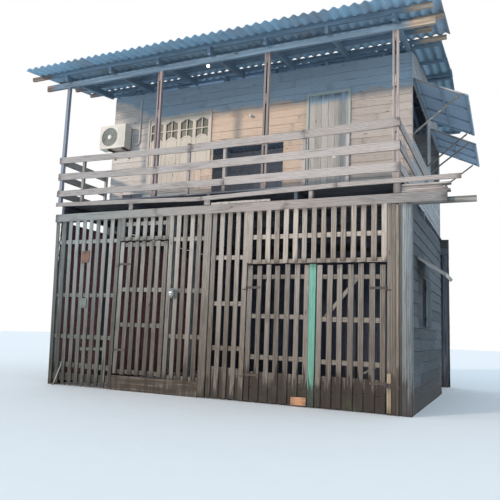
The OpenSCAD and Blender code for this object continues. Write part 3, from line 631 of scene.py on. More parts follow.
@once
def pane_glass(name):
    """Old panes: a dark grey-green painted for the dark room seen through the glass, with a dusty film that
    is thicker in patches.
    """
    s = Surface(name, specular=0.25)
    film = s.noise(s.place, 7, 5, 0.6)
    color = s.blend(s.levels(film, 0.35, 0.7), (66, 72, 68), (98, 98, 86))
    return s.dress({"Base Color": color, "Roughness": s.levels(film, 0.3, 0.8, 0.3, 0.55)})


@once
def lamp_glass(name):
    """A lit lamp: warm white, uneven in fine patches."""
    s = Surface(name, 0.3)
    color = s.blend(s.noise(s.place, 30, 2), (1.0, 0.9, 0.72, 1), (1.0, 0.97, 0.9, 1))
    return s.dress({"Base Color": color, "Emission Color": color, "Emission Strength": 2.2})


def rust():
    """The steel of hinges, straps, nails and screws."""
    return rusted("rusty steel")


def front_stops(left, right, ends=()):
    """Stops along the front: the left colour, a mix of both half way, the right one, then ends."""
    left, right = (np.array(shade_of(c)[:3]) for c in (left, right))
    mid = (*(left * 0.45 + right * 0.55), 1.0)
    return [(0.6, (*left, 1.0)), (2.7, mid), (5.0, (*right, 1.0)), *ends]


# Woods that the panel's colours don't change: name, pale, dark and the other settings of timber().
# Stops are metres from the house's left corner
WOODS = {
    "gate sill wood": ((112, 100, 90), (66, 57, 49), dict(along="x", stains=0.5, damp_top=0.1, damp=0.7)),
    "railing boards": (
        front_stops((170, 164, 160), (184, 174, 168)),
        front_stops((124, 118, 114), (136, 126, 120)),
        dict(stains=0.4, runs=0.1),
    ),
    "floor beam wood": (
        front_stops((145, 148, 145), (170, 157, 150), [(7.6, (152, 148, 144))]),
        front_stops((110, 113, 111), (130, 118, 111), [(7.6, (112, 109, 106))]),
        dict(variation=0.35, runs=0.1),
    ),
    "side wall boards": (
        (180, 180, 178), (132, 132, 131), dict(variation=0.55, stains=0.25, runs=0.25, end_wear=0.25)
    ),
    "lapped wall boards": (
        (93, 101, 105),
        (50, 56, 60),
        dict(variation=0.8, stains=0.45, damp_top=0.4, damp=0.7, runs=0.4, ragged=0.2, end_wear=0.35),
    ),
    "ground storey boards": (
        (98, 95, 91),
        (64, 62, 59),
        dict(variation=0.45, stains=0.4, damp_top=0.35, damp=0.7, runs=0.3, ragged=0.18, end_wear=0.3),
    ),
    "left lining boards": (
        (198, 128, 132), (138, 84, 88), dict(variation=0.8, stains=0.3, damp_top=0.4, damp=0.5)
    ),
    # Dark blue-grey: painted shade, standing for the dark inside that shows through the fence's gaps.
    "rear lining boards": (
        (102, 106, 118), (62, 66, 78), dict(variation=0.8, stains=0.3, damp_top=0.4, damp=0.5)
    ),
    "floor boards": ((132, 135, 142), (84, 87, 94), dict(variation=0.7, stains=0.45)),
    # The roofs' frames are blue-grey along the house: painted shade under the roofs, near the colour of the
    # sheets' painted undersides.
    "main roof timber": (
        [(-0.4, (122, 143, 160)), (6.96, (122, 143, 160))],
        [(-0.4, (100, 119, 134)), (6.96, (100, 119, 134))],
        dict(along="x", stains=0.3, runs=0.0),
    ),
    # Painted shade between -0.4 m and 6.96 m; the frame's ends outside it keep warm timber colours.
    "veranda roof timber": (
        [(-0.62, (150, 134, 128)), (-0.4, (122, 143, 160)), (6.96, (122, 143, 160)), (7.16, (200, 180, 160))],
        [(-0.62, (104, 90, 84)), (-0.4, (100, 119, 134)), (6.96, (100, 119, 134)), (7.16, (152, 132, 114))],
        dict(along="x", stains=0.3, runs=0.0),
    ),
    # The bluish grey at the left post is painted shade; the posts further right keep warm greys.
    "veranda post wood": (
        [(0.6, (156, 160, 168)), (2.0, (172, 156, 154)), (4.5, (158, 144, 139)), (6.5, (194, 180, 172))],
        [(0.6, (114, 118, 128)), (2.0, (118, 102, 100)), (4.5, (104, 92, 88)), (6.5, (140, 124, 116))],
        dict(variation=0.4, stains=0.3),
    ),
    "grey patch boards": ((172, 169, 163), (114, 112, 108), dict(variation=0.6, stains=0.4)),
    "fence patch boards": (
        (122, 128, 122), (88, 92, 86), dict(high=(1.6, 0.1, (140, 106, 90), (98, 72, 60)))
    ),
    "new patch board": ((204, 154, 118), (160, 112, 82), dict(stains=0.1, variation=0.2)),
    "tan foot piece": ((172, 152, 124), (124, 106, 84), dict(stains=0.2)),
    # The door turns blue-grey above 5.82 m: painted shade for the eave's shadow.
    "door boards": (
        (198, 191, 183),
        (158, 153, 146),
        dict(stains=0.25, runs=0.25, high=(5.82, 0.12, (170, 186, 198), (140, 156, 168))),
    ),
    # Flap boards: pale blue on faces that look down, a painted sky shade on the undersides; faces that look
    # up are grey.
    "blue-grey boards": (
        (178, 200, 220),
        (156, 178, 198),
        dict(variation=0.2, stains=0.15, top=((132, 138, 142), (96, 100, 104))),
    ),
    "pale battens": ((196, 190, 182), (136, 130, 124), dict(stains=0.3)),
    # The flaps' battens: pale blue, a painted sky shade under the flaps.
    "blue-grey battens": ((160, 181, 199), (140, 161, 179), dict(stains=0.2)),
}


def wood(name):
    """A wood of the table above."""
    pale, dark, settings = WOODS[name]
    return timber(name, pale, dark, **settings)


# Covers: name, cover, what is under it, flake size, share worn, roughness and, as far as given, dust
COVERS = {
    "white enamel": ((236, 234, 228), (150, 140, 128), 60, 0.0, 0.3),
    "aged cream casing": ((212, 206, 196), (150, 142, 130), 26, 0.05, 0.45, 0.35),
    "grille wire": ((158, 164, 158), (110, 100, 88), 60, 0.2, 0.5),
    "fan blades": ((134, 142, 137), (108, 108, 100), 40, 0.1, 0.6, 0.3),
    "fan well": ((124, 130, 126), (100, 98, 92), 30, 0.1, 0.7, 0.2),
    "hub enamel": ((238, 237, 230), (160, 150, 136), 50, 0.05, 0.4),
    "taped sleeve": ((206, 203, 198), (152, 148, 140), 45, 0.2, 0.7),
    "grey moulding": ((118, 120, 118), (84, 82, 78), 30, 0.2, 0.75),
    "dull meter cover": ((98, 100, 99), (78, 76, 73), 24, 0.3, 0.7, 0.4),
    "white dial plate": ((226, 226, 220), (170, 166, 158), 60, 0.0, 0.4),
    "white moulding": ((214, 208, 204), (170, 164, 158), 50, 0.0, 0.35),
    "pale torn board": ((180, 168, 160), (142, 130, 122), 18, 0.3, 0.8),
}


def cover(name):
    """A cover of the table above."""
    return covered(name, *COVERS[name])


def fence_wood():
    """Grey slats on the left and warmer ones on the right, browner and darker towards the ground."""
    look = colours()
    pale, dark = front_stops(look.fence_left, look.fence_right), front_stops((82, 86, 84), (118, 106, 96))
    return timber(
        "slatted fence wood", pale, dark, variation=0.8, damp_top=0.3, damp=0.8, runs=0.35, grime=0.92
    )


def gate_wood():
    """The fence's wood, dimmer and blacker at its foot."""
    look, dim = colours(), np.array((0.76, 0.78, 0.8, 1))
    pale = front_stops(np.array(look.fence_left) * dim, np.array(look.fence_right) * dim)
    weather = dict(stains=0.4, damp_top=0.5, damp=0.97, runs=0.3, ragged=0.2, grime=0.75)
    dark = front_stops((72, 76, 76), (102, 93, 85))
    return timber("slatted gate wood", pale, dark, variation=0.7, **weather)


def corner_wood():
    """Six upright strips, brown beside the gate and blue-grey at the corner; each one's dark is
    two thirds of its pale."""
    edges = (6.72, 6.777, 6.861, 6.903, 6.949, 7.017, 7.1)
    brown = (156, 143, 130), (138, 127, 116), (182, 165, 147)
    grey = (92, 90, 88), (160, 164, 163), (140, 147, 150)
    pale, dark = (
        [(u, linear(*(q * v for v in tone))) for a, b, tone in zip(edges, edges[1:], brown + grey)
         for u in (a + 0.001, b - 0.001)]
        for q in (1, 0.66)
    )
    weather = dict(damp_top=0.55, damp=0.75, runs=0.35, ragged=0.3, grime=0.5)
    return timber("corner upright wood", pale, dark, variation=0.2, **weather)


def wall_wood():
    """Pale boards, which turn blue-grey above a line under the eaves: painted shade for the eave's shadow."""
    at = (0.0, 1.6, 2.6, 4.4, 5.9)
    pale = (224, 214, 206), (224, 212, 200), colours().wall_pale, (218, 193, 173), (195, 184, 175)
    dark = (186, 176, 170), (186, 172, 160), (192, 168, 148), (188, 164, 145), (160, 148, 140)
    # Painted shade: above 5.93 m, rising towards the left corner, the boards turn blue-grey for the eave's
    # shadow.
    eaves = (5.93, 0.14, (168, 185, 196), (142, 158, 171))
    stops = (list(zip(at, c)) for c in (pale, dark))
    return timber("wall boards", *stops, variation=0.35, stains=0.1, runs=0.08, end_wear=0.2, high=eaves)


def dark_timber(along):
    """Timber in the shade of the ground storey, painted a dark blue-grey for that shade; its uprights are
    damp at their feet.
    """
    damp = 0.6 if along == "z" else 0.0
    look = dict(along=along, stains=0.4, damp_top=0.4, damp=damp)
    return timber(f"shaded timber {along}", (104, 107, 114), (60, 63, 70), **look)


def post_timber(along):
    """Grey timber in the open; its uprights are damp at their feet."""
    damp = 0.8 if along == "z" else 0.0
    return timber(f"grey timber {along}", (150, 147, 142), (96, 93, 89), along=along, damp_top=0.4, damp=damp)


def green_paint():
    """Worn paint over the grain of one board, soiled at its foot."""
    weather = dict(stains=0.5, damp_top=0.36, damp=0.9, runs=0.06, ragged=0.3, grime=0.35)
    return timber("green paint on board", colours().green_paint, (100, 146, 128), variation=0.1, **weather)


def cream_paint():
    """The window leaves' paint."""
    return covered("cream paint", colours().window_cream, (160, 146, 130), 34, 0.12, 0.6)


def frame_paint():
    """Cream round the window, grey-green round the door."""
    stops = [(3.6, colours().window_cream), (3.8, (172, 180, 172))]
    return covered("frame paint", stops, (142, 134, 122), 30, 0.2, 0.6)


# Layout

# Courses of boards: the shortest first length and later ones, how far a joint stays from the wall's
# end and from a gable's sloped end, the height below which a last course joins the one under it, and
# the least height, length and sloped length of a board
FIRST_LENGTH, NEXT_LENGTH = 0.5, 1.6
JOINT_TO_END, JOINT_TO_GABLE = 0.4, 0.3
THIN_COURSE = 0.05
LEAST_HEIGHT, LEAST_LENGTH, LEAST_SLOPED = 0.015, 0.02, 0.03


def courses(ends, heights, course, seed, holes=(), joint=3.2, limits=None):
    """Rows of boards on a wall: courses of nearly equal height, cut round the holes
    (u0, u1, z0, z1) and butted at random. Limits gives the wall's two ends at a height.
    Each board is (its two ends, its foot and head, how far its head is drawn in at each end)."""
    rng = np.random.default_rng(seed)
    (u0, u1), (z, z1) = ends, heights
    made = []
    while z < z1 - LEAST_LENGTH:
        top = min(z + course * rng.uniform(0.92, 1.08), z1)
        top = z1 if z1 - top < THIN_COURSE else top
        beside = [h for h in holes if h[2] < top and h[3] > z]
        cuts, at = {u0, u1}, u0 + rng.uniform(FIRST_LENGTH, joint)
        while at < u1 - JOINT_TO_END:
            cuts.add(at)
            at += rng.uniform(NEXT_LENGTH, joint)
        cuts |= {c for h in beside for c in h[:2] if u0 < c < u1}
        if limits and limits(top) != limits(z):
            inner = limits(top)[0] + JOINT_TO_GABLE, limits(top)[1] - JOINT_TO_GABLE
            cuts = {c for c in cuts if c in (u0, u1) or inner[0] < c < inner[1]}
        cuts = sorted(cuts)
        for a, b in zip(cuts, cuts[1:]):
            here = [h for h in beside if h[0] < b - 1e-6 and h[1] > a + 1e-6]
            low = max([z] + [h[3] for h in here if h[2] <= z])
            high = min([top] + [h[2] for h in here if h[2] > z])
            if high - low < LEAST_HEIGHT or b - a < LEAST_LENGTH:
                continue
            s0 = s1 = 0.0
            if limits:
                (left, right), (left_top, right_top) = limits(low), limits(high)
                a, b = max(a, left), min(b, right)
                s0, s1 = max(0, left_top - a), max(0, b - right_top)
                if b - a - s0 - s1 < LEAST_SLOPED:
                    continue
            made.append((a, b, low, high, s0, s1))
        z = top
    return made


def weatherboards(rows, face, seed, lap=0.006, thick=0.018, gap=0.003):
    """Courses as boards on a wall's face: its origin, its direction and its outward one. Each
    board leans in by the lap, so its foot stands proud of the head below it; with a gap below
    nought the boards run behind each other's edges, so that no light shows between them."""
    rng = np.random.default_rng(seed)
    origin, run, out = (np.array(v, float) for v in face)
    made = []
    for a, b, low, high, s0, s1 in rows:
        g = rng.uniform(0.5, 1.1) * gap
        lift = max(rng.uniform(-0.002, 0.002), 0)
        at = origin + run * (a + g / 2) + Z * (low + g / 2 + lift) - out * rng.uniform(0, 0.002)
        edges = run * (b - a - g), Z * (high - low - g) - out * lap, -out * thick
        made.append(plank(at, *edges, (s0, s1)))
    return made


def studs(ends, heights, face, pitch=0.62, holes=(), deep=0.012, w=0.05):
    """Uprights on the inside of a wall, from out of the boards' backs to the wall's own back."""
    origin, run, out = (np.array(v, float) for v in face)
    (u0, u1), (z0, z1) = ends, heights
    count = max(2, round((u1 - u0) / pitch))
    made = []
    for k in range(count + 1):
        u = u0 + (u1 - u0 - w) * k / count
        over = sorted((h for h in holes if h[0] < u + w and h[1] > u), key=lambda h: h[2])
        for a, b in zip([z0, *(h[3] for h in over)], [*(h[2] for h in over), z1]):
            if b - a > 0.05:
                at = origin + run * u + Z * a - out * (WALL_T - deep)
                made.append(plank(at, Z * (b - a), run * w, -out * deep))
    return made


def board_wall(
    name,
    nodes,
    material,
    seed,
    face,
    ends,
    heights,
    course,
    lapping=(),
    pitch=0.75,
    holes=(),
    stud_top=None,
    stud_holes=None,
    joint=3.2,
    deep=0.012,
    limits=None,
    extra=(),
    shape=(0.004, 0.0014, 12),
    slot="wall_boards",
):
    """A wall of lapped boards with its studs. Face is as in weatherboards(), and lapping the lap,
    thickness and gap of the boards, as far as given. Deep is a stud's depth; the studs end at
    stud_top and stop at stud_holes, where these differ from the boards' own head and holes. Extra
    holds more rows for the same piece."""
    rows = courses(ends, heights, course, seed, holes, joint, limits)
    rows = weatherboards(rows, face, seed + 1, *lapping)
    upright = heights[0], heights[1] if stud_top is None else stud_top
    rows += studs(ends, upright, face, pitch, holes if stud_holes is None else stud_holes, deep)
    lay(name, rows + list(extra), material, seed + 2, shape, nodes)


def upright_boards(x0, x1, z0, z1, count, gap, y, thick):
    """Upright boards side by side along the front."""
    w = (x1 - x0) / count
    return [plank((x0 + k * w, y, z0), Z * (z1 - z0), X * (w - gap), Y * thick) for k in range(count)]


def end_to_end(cuts, drops, heights, y, z, gap, thick):
    """Level boards butted at the cuts, whose ends hang down there by the drops."""
    return [
        plank((a, y, z - p), (b - a - gap, 0, p - q), Z * h, Y * thick)
        for a, b, p, q, h in zip(cuts, cuts[1:], drops, drops[1:], heights)
    ]


def slat_starts(x0, x1):
    """Left edges of the slats between two ends, at the CAD's own pitch, and a slat's full width."""
    w, pitch = sizes().slat_width, sizes().slat_pitch
    count = max(1, round((x1 - x0 - w) / pitch))
    return [x0 + k * (x1 - x0 - w) / count for k in range(count + 1)], w


def slats(x0, x1, z0, z1, seed, sway=0.004, head=0.0, lean=0.0):
    """Slats of a fence panel, each a little out of true. The first one's head leans out by lean,
    the last one's by nothing, and the others by their share."""
    rng = np.random.default_rng(seed)
    starts, width = slat_starts(x0, x1)
    last = len(starts) - 1
    made = []
    for k, x in enumerate(starts):
        inner = 0 < k < last
        x += rng.uniform(-0.004, 0.004) * inner
        tilt = rng.uniform(-sway, sway) * inner - lean * (1 - k / last)
        w = width * rng.uniform(0.93, 1.0)
        foot = z0 + rng.uniform(0, 0.02)
        top = z1 - rng.uniform(0, head)
        at = x, rng.uniform(0, 0.0015), foot
        made.append(plank(at, (tilt, 0, top - foot), X * w, Y * (SLAT_T - 0.002)))
    return made


def rails(x0, x1, heights, seed, lean=0.0):
    """Level rails behind the slats; lean is how far each reaches out per metre of height."""
    rng = np.random.default_rng(seed)
    h = sizes().rail_height
    made = []
    for z in heights:
        more = lean * (z - 0.1)
        at = x0 - more, SLAT_T, z + rng.uniform(-0.003, 0.003)
        along = x1 - x0 + more, 0, rng.uniform(-0.004, 0.004)
        made.append(plank(at, along, Z * (h * rng.uniform(0.94, 1.0)), Y * RAIL_T))
    return made


def nail_heads(places):
    """Low round heads that face the street: one small turned profile put at each place."""
    r = sizes().nail_radius
    return stamped(lathe([(r, 0.0), (r, 0.0012), (r * 0.5, 0.0018)], (0, 0, 0), STREET, 8), places)


def slat_nails(x0, x1, heights, seed, lean=0.0):
    """Two nails where each slat crosses each rail."""
    rng = np.random.default_rng(seed)
    starts, w = slat_starts(x0, x1)
    last = len(starts) - 1
    made = []
    for k, x in enumerate(starts):
        for z in heights:
            for share in (0.27, 0.72):
                at = x + w * share - lean * z * (1 - k / last) + rng.uniform(-0.006, 0.006)
                made.append((at, -0.0005, z + 0.04 + rng.uniform(-0.02, 0.02)))
    return made


# Settings


def length(label, text, default, least):
    """A size setting in metres."""
    return bpy.props.FloatProperty(name=label, description=text, default=default, min=least, unit="LENGTH")


def whole(label, text, default, least):
    """A setting that counts pieces."""
    return bpy.props.IntProperty(name=label, description=text, default=default, min=least)


def colour(label, text, r, g, b):
    """A colour setting whose default is given in display values of 0 to 255."""
    return bpy.props.FloatVectorProperty(
        name=label, description=text, default=linear(r, g, b), size=4, min=0, max=1, subtype="COLOR"
    )


class HouseSizes(bpy.types.PropertyGroup):
    """Sizes of the boards and sheets that dress the frame"""

    wall_course: length("Wall board", "Height of a course of wall boards", 0.157, 0.08)
    slat_width: length("Slat width", "Width of a fence slat", 0.09, 0.05)
    slat_pitch: length("Slat pitch", "Distance between fence slats", 0.167, 0.1)
    rail_height: length("Fence rail", "Height of a fence rail", 0.08, 0.04)
    nail_radius: length("Nail head", "Radius of a nail head", 0.004, 0.001)
    sheet_wave: length("Sheet wave", "Distance between crests of a roof sheet", 0.175, 0.05)
    sheet_rise: length("Sheet rise", "Height of a roof sheet's waves", 0.045, 0.01)
    sheet_thickness: length("Sheet thickness", "Thickness of a roof sheet", 0.006, 0.002)
    sheet_waves: whole("Waves in a sheet", "Whole waves across one roof sheet", 6, 2)
    grille_rings: whole("Grille rings", "Wire rings before the fan", 15, 5)


class HouseColours(bpy.types.PropertyGroup):
    """Main colours of the house's finishes"""

    wall_pale: colour("Wall boards", "Pale grain of the upper wall boards", 224, 200, 180)
    fence_left: colour("Fence, left", "Pale grain of the fence at its left end", 152, 156, 152)
    fence_right: colour("Fence, right", "Pale grain of the fence at its right end", 194, 180, 167)
    green_paint: colour("Green board", "Paint of the green gate board", 124, 182, 160)
    window_cream: colour("Window paint", "Paint of the window's leaves", 206, 194, 180)
    sheet_above: colour("Sheets, above", "Roof sheets on the weather side", 124, 130, 132)
    # The undersides' pale blue is painted sky shade.
    sheet_below_painted_shade: colour("Sheets, below", "Roof sheets on the shaded side", 192, 232, 250)


class HouseLight(bpy.types.PropertyGroup):
    """Light and camera of the stage"""

    sun_strength: bpy.props.FloatProperty(
        name="Sun", description="Strength of the low sun", default=2.3, min=0
    )
    sky_strength: bpy.props.FloatProperty(
        name="Sky", description="Strength of the soft sky", default=1.3, min=0
    )
    lens: bpy.props.FloatProperty(
        name="Lens", description="Focal length of the camera", default=41.293, min=10, unit="CAMERA"
    )


# Stage

FLOOR_HALF = 60.0
SKY_COLOUR = (0.62, 0.8, 1.0, 1)
SUN_COLOUR, SUN_WAY, SUN_SPREAD = (1.0, 0.86, 0.71), (0.7, 1.0, -0.29), 5
ROOM_COLOUR, ROOM_POWER, ROOM_RADIUS = (0.72, 0.8, 1.0), 90.0, 0.5
ROOM_LAMP = HOME + np.array((2.6, WALL_Y + 1.5, FLOOR_Z + 1.6))
EYE = HOME + np.array((8.441, -9.092, 1.182))
EYE_YAW, EYE_PITCH, EYE_ROLL = -24.3, 8.102, -2.129


def placed(name, data):
    """A new object of the scene with its data."""
    made = bpy.data.objects.new(name, data)
    bpy.context.scene.collection.objects.link(made)
    return made


def looking(place, ahead, roll):
    """Matrix of a camera or lamp at a place, facing ahead, rolled clockwise by degrees."""
    ahead = np.array(ahead, float) / np.linalg.norm(ahead)
    right = np.cross(ahead, Z)
    right /= np.linalg.norm(right)
    down = np.cross(ahead, right)
    c, s = math.cos(math.radians(roll)), math.sin(math.radians(roll))
    m = np.eye(4)
    m[:3] = np.stack([c * right + s * down, s * right - c * down, -ahead, np.array(place, float)], 1)
    return Matrix(m.tolist())


def pale_floor():
    """A plain square under the house, with a faint speckle."""
    mesh = bpy.data.meshes.new("floor")
    f = FLOOR_HALF
    mesh.from_pydata([(-f, -f, 0), (f, -f, 0), (f, f, 0), (-f, f, 0)], [], [(0, 1, 2, 3)])
    s = Surface("pale floor", 0.9)
    color = s.blend(s.noise(s.place, 3.0, 3), (0.76, 0.72, 0.67, 1), (0.8, 0.76, 0.71, 1))
    mesh.materials.append(s.dress({"Base Color": color}))
    return placed("floor", mesh)


def daylight(strength):
    """A blue sky that lights the house, and plain white where the camera or a mirror sees it."""
    world = bpy.data.worlds.new("soft daylight")
    world.use_nodes = True
    w = Wires(world.node_tree)
    sky = w.feed(w.tree.nodes["Background"], {"Color": SKY_COLOUR, "Strength": strength})
    plain = w.put("ShaderNodeBackground", {"Color": (1, 1, 1, 1), "Strength": 1.0})
    rays = w.put("ShaderNodeLightPath").outputs
    seen = w.reckon("MAXIMUM", rays["Is Camera Ray"], rays["Is Glossy Ray"])
    seen = w.reckon("MAXIMUM", seen, rays["Is Transmission Ray"])
    mixed = w.put("ShaderNodeMixShader", {0: seen, 1: sky.outputs[0], 2: plain.outputs[0]})
    w.feed(w.tree.nodes["World Output"], {"Surface": mixed.outputs[0]})
    return world


class BuildStage(bpy.types.Operator):
    """Pale floor, soft light and the camera at the photograph's viewing angle"""

    bl_idname = "house.build_stage"
    bl_label = "Stage"

    def execute(self, context):
        scene, light = context.scene, context.scene.house_light
        pale_floor()
        scene.world = daylight(light.sky_strength)
        lamp = bpy.data.lights.new("low sun", "SUN")
        lamp.energy, lamp.angle, lamp.color = light.sun_strength, math.radians(SUN_SPREAD), SUN_COLOUR
        placed("low sun", lamp).matrix_world = looking((0, 0, 20), SUN_WAY, 0)
        lamp = bpy.data.lights.new("room light", "POINT")
        lamp.energy, lamp.shadow_soft_size, lamp.color = ROOM_POWER, ROOM_RADIUS, ROOM_COLOUR
        placed("room light", lamp).location = ROOM_LAMP
        data = bpy.data.cameras.new("camera")
        data.lens, data.sensor_width, data.clip_start, data.clip_end = light.lens, 36.0, 0.1, 300.0
        camera = placed("camera", data)
        yaw, pitch = math.radians(EYE_YAW), math.radians(EYE_PITCH)
        level = math.cos(pitch)
        ahead = level * math.sin(yaw), level * math.cos(yaw), math.sin(pitch)
        camera.matrix_world = looking(EYE, ahead, EYE_ROLL)
        scene.camera = camera
        scene.view_settings.view_transform = "Standard"
        return {"FINISHED"}


# Ground storey

LEVELS = {
    "fence_left": [0.925, 1.74, 2.83],
    "fence_over_small_gate": [2.85, 3.14],
    "fence_middle": [0.27, 1.01, 1.84, 2.81],
    "fence_right": [0.84, 1.62, 2.44],
    "fence_over_large_gate": [2.36, 2.79],
    "small_gate": [0.31, 1.19, 1.86, 2.73],
    "large_gate_left": [0.72, 1.415, 2.09],
    "large_gate_right": [0.705, 1.39, 2.09],
}
FENCE_SHAPE = (0.004, 0.0022, 12)
DOUBLE_BOARD_W = 0.15
DOUBLE_BOARD_FOOT = 0.27


def front_beam():
    """The floor's front beam in three lengths."""
    lo, hi = span("front_beam")
    _, deep, tall = hi - lo
    cuts = [lo[0], 2.34, 4.96, hi[0]]
    rows = end_to_end(cuts, [0] * 4, [tall] * 3, y=lo[1], z=lo[2], gap=0.002, thick=deep)
    shape = 0.003, 0.002, 20, 0.006
    lay("floor_beam_front", rows, wood("floor beam wood"), 3, shape, ["front_beam"])


def deck_edge():
    """Edge board in three lengths that sag at their joints."""
    lo, hi = span("deck_edge_board")
    cuts, drops = [lo[0], 3.3, 5.9, hi[0]], [0, 0.085, 0.012, 0]
    tall, thick = hi[2] - lo[2], lo[1] - hi[1]
    rows = end_to_end(cuts, drops, [tall] * 3, y=hi[1], z=lo[2], gap=0.004, thick=thick)
    lay("deck_edge", rows, wood("railing boards"), 4, (0.003, 0.003, 20), ["deck_edge_board"])


def floor_planks():
    """Floor boards along the front, butted at random; those of the rooms start at the left wall."""
    lo, hi = span("floor_boards")
    left = span("left_wall")[0][0] - 0.05
    rows, y, rng = [], lo[1], np.random.default_rng(5)
    while y < hi[1] - 0.02:
        w = min(0.148, hi[1] - y)
        w = WALL_Y - y if y < WALL_Y < y + w + 0.05 else w
        x = lo[0] if y < WALL_Y - 0.01 else left
        cuts = [x]
        while x < hi[0] - 2.0:
            x += rng.uniform(1.7, 3.4)
            if x < hi[0] - 0.6:
                cuts.append(x)
        cuts.append(hi[0])
        edges = Y * (w - 0.005), Z * (lo[2] - hi[2])
        rows += [plank((a, y, hi[2]), X * (b - a - 0.004), *edges) for a, b in zip(cuts, cuts[1:])]
        y += w
    lay("floor_planks", rows, wood("floor boards"), 6, (0.001, 0.001, 6), ["floor_boards"])


def joist_end_blocks():
    """Short boards over the joists' ends, and one upright block."""
    top = span("floor_joists")[0][2]
    ends = (1.7, 1.79), (3.38, 3.5), (6.82, 6.93)
    rows = [plank((a, -0.0195, top + 0.002), X * (b - a), Z * 0.165, Y * 0.019) for a, b in ends]
    rows.append(plank((5.39, 0.01, top + HAIR), Z * 0.205, X * 0.07, Y * 0.09))
    lay("joist_end_blocks", rows, wood("railing boards"), 7, (0.001, 0.001, 4))


class BuildGroundFrame(bpy.types.Operator):
    """Posts, beams, joists and floor"""

    bl_idname = "house.build_ground_frame"
    bl_label = "Ground frame and floor"

    def execute(self, context):
        for node, along in (("front_posts", "z"), ("side_beam", "x")):
            finish_node(node, post_timber(along), 0.004)
        for node, along in (("inner_posts", "z"), ("inner_beams", "x"), ("floor_joists", "y")):
            finish_node(node, dark_timber(along), 0.004)
        finish_node("gate_sill", wood("gate sill wood"), 0.003)
        front_beam()
        deck_edge()
        floor_planks()
        joist_end_blocks()
        return {"FINISHED"}


def fence_panel(k, node):
    """One panel, whose left end may lean; gives back the places of its nails."""
    lo, hi = span(node)
    left_panel, middle = node == "fence_left", node == "fence_middle"
    x0 = 0.0 if left_panel else lo[0]
    x1 = hi[0] - (DOUBLE_BOARD_W if middle else 0.0)
    foot = DOUBLE_BOARD_FOOT if middle else lo[2]
    lean = x0 - lo[0]
    share = lean / (hi[2] - lo[2])
    left, right = {"fence_middle": (0, 0.055), "fence_right": (0.022, 0)}.get(node, (0, 0))
    rows = slats(x0 + left, x1 - right, foot, hi[2], 20 + k, lean=lean)
    rows += rails(x0, x1, LEVELS[node], 30 + k, share)
    if middle:
        front, back = hi[2] - 0.02, hi[2] - DOUBLE_BOARD_FOOT
        rows.append(plank((x1, 0, 0.02), Z * front, X * (DOUBLE_BOARD_W - 0.002), Y * SLAT_T))
        rows.append(plank((x1, SLAT_T, DOUBLE_BOARD_FOOT), Z * back, X * 0.1, Y * RAIL_T))
    if left_panel:
        rows += [
            plank((0.61, BEHIND_SLATS, 0.69), (0.76, 0, 0.03), Z * 0.06, Y * 0.026),
            plank((0.25, BEHIND_SLATS, 0.36), (1.28, 0, -0.02), Z * 0.1, Y * 0.026),
            plank((0.03, BEHIND_SLATS, 0.1), (1.5, 0, 0.01), Z * 0.14, Y * 0.02),
        ]
    lay(f"{node}_boards", rows, fence_wood(), 50 + k, FENCE_SHAPE, [node])
    return slat_nails(x0 + left, x1 - right, LEVELS[node], 40 + k, share)


def fence_patches():
    """Two patch boards at the left, the boards low behind the middle panel and a stick."""
    rows = [
        plank((0.645, -0.0125, 1.53), (0.01, 0, 0.2), (0.17, 0, -0.01), Y * 0.012),
        plank((0.62, -0.0125, 2.42), (0.0, 0, 0.24), (0.19, 0, 0.02), Y * 0.012),
    ]
    lay("fence_patch_boards", rows, wood("fence patch boards"), 57, (0.002,))
    rows = [
        plank((3.62, BEHIND_SLATS, 0.03), (0.665, 0, 0.012), Z * 0.26, Y * 0.028),
        plank((3.6, BEHIND_SLATS, 0.295), (0.685, 0, -0.01), Z * 0.26, Y * 0.028),
    ]
    lay("fence_kick_boards", rows, gate_wood(), 59, (0.002, 0.006))
    rows = [plank((0.2, -0.095, 0.004), (0.115, 0.08, 0.44), (0.03, 0, -0.008), (0, 0.012, -0.002))]
    lay("leaning_stick", rows, wood("grey patch boards"), 58, (0.002,))


def corner_boards():
    """Upright boards at the right corner, by their shares of its width and how deep they stand."""
    lo, hi = span("corner_boards")
    shares, deep = (0, 0.15, 0.37, 0.48, 0.6, 0.78, 1), (0, 0.003, lo[1], 0.012, 0, 0.002)
    edges = [lo[0] + q * (hi[0] - lo[0]) for q in shares]
    rows = [
        plank((p + 0.0015, y, 0), Z * (hi[2] - 0.012 * (m % 3)), X * (q - p - 0.003), Y * (SLAT_T - y))
        for m, (p, q, y) in enumerate(zip(edges, edges[1:], deep))
    ]
    rows += rails(lo[0], hi[0], [0.45, 1.15, 1.78, 2.35, 2.9], 37)
    lay("corner_upright_boards", rows, corner_wood(), 56, (0.003, 0.0022, 16), ["corner_boards"])


class BuildFence(bpy.types.Operator):
    """The slatted fence, panel by panel, with its corner boards and double board"""

    bl_idname = "house.build_fence"
    bl_label = "Slatted fence"

    def execute(self, context):
        panels = [node for node in LEVELS if node.startswith("fence")]
        nails = [at for k, node in enumerate(panels) for at in fence_panel(k, node)]
        fence_patches()
        corner_boards()
        show("fence_nails", nail_heads(nails), rust())
        return {"FINISHED"}


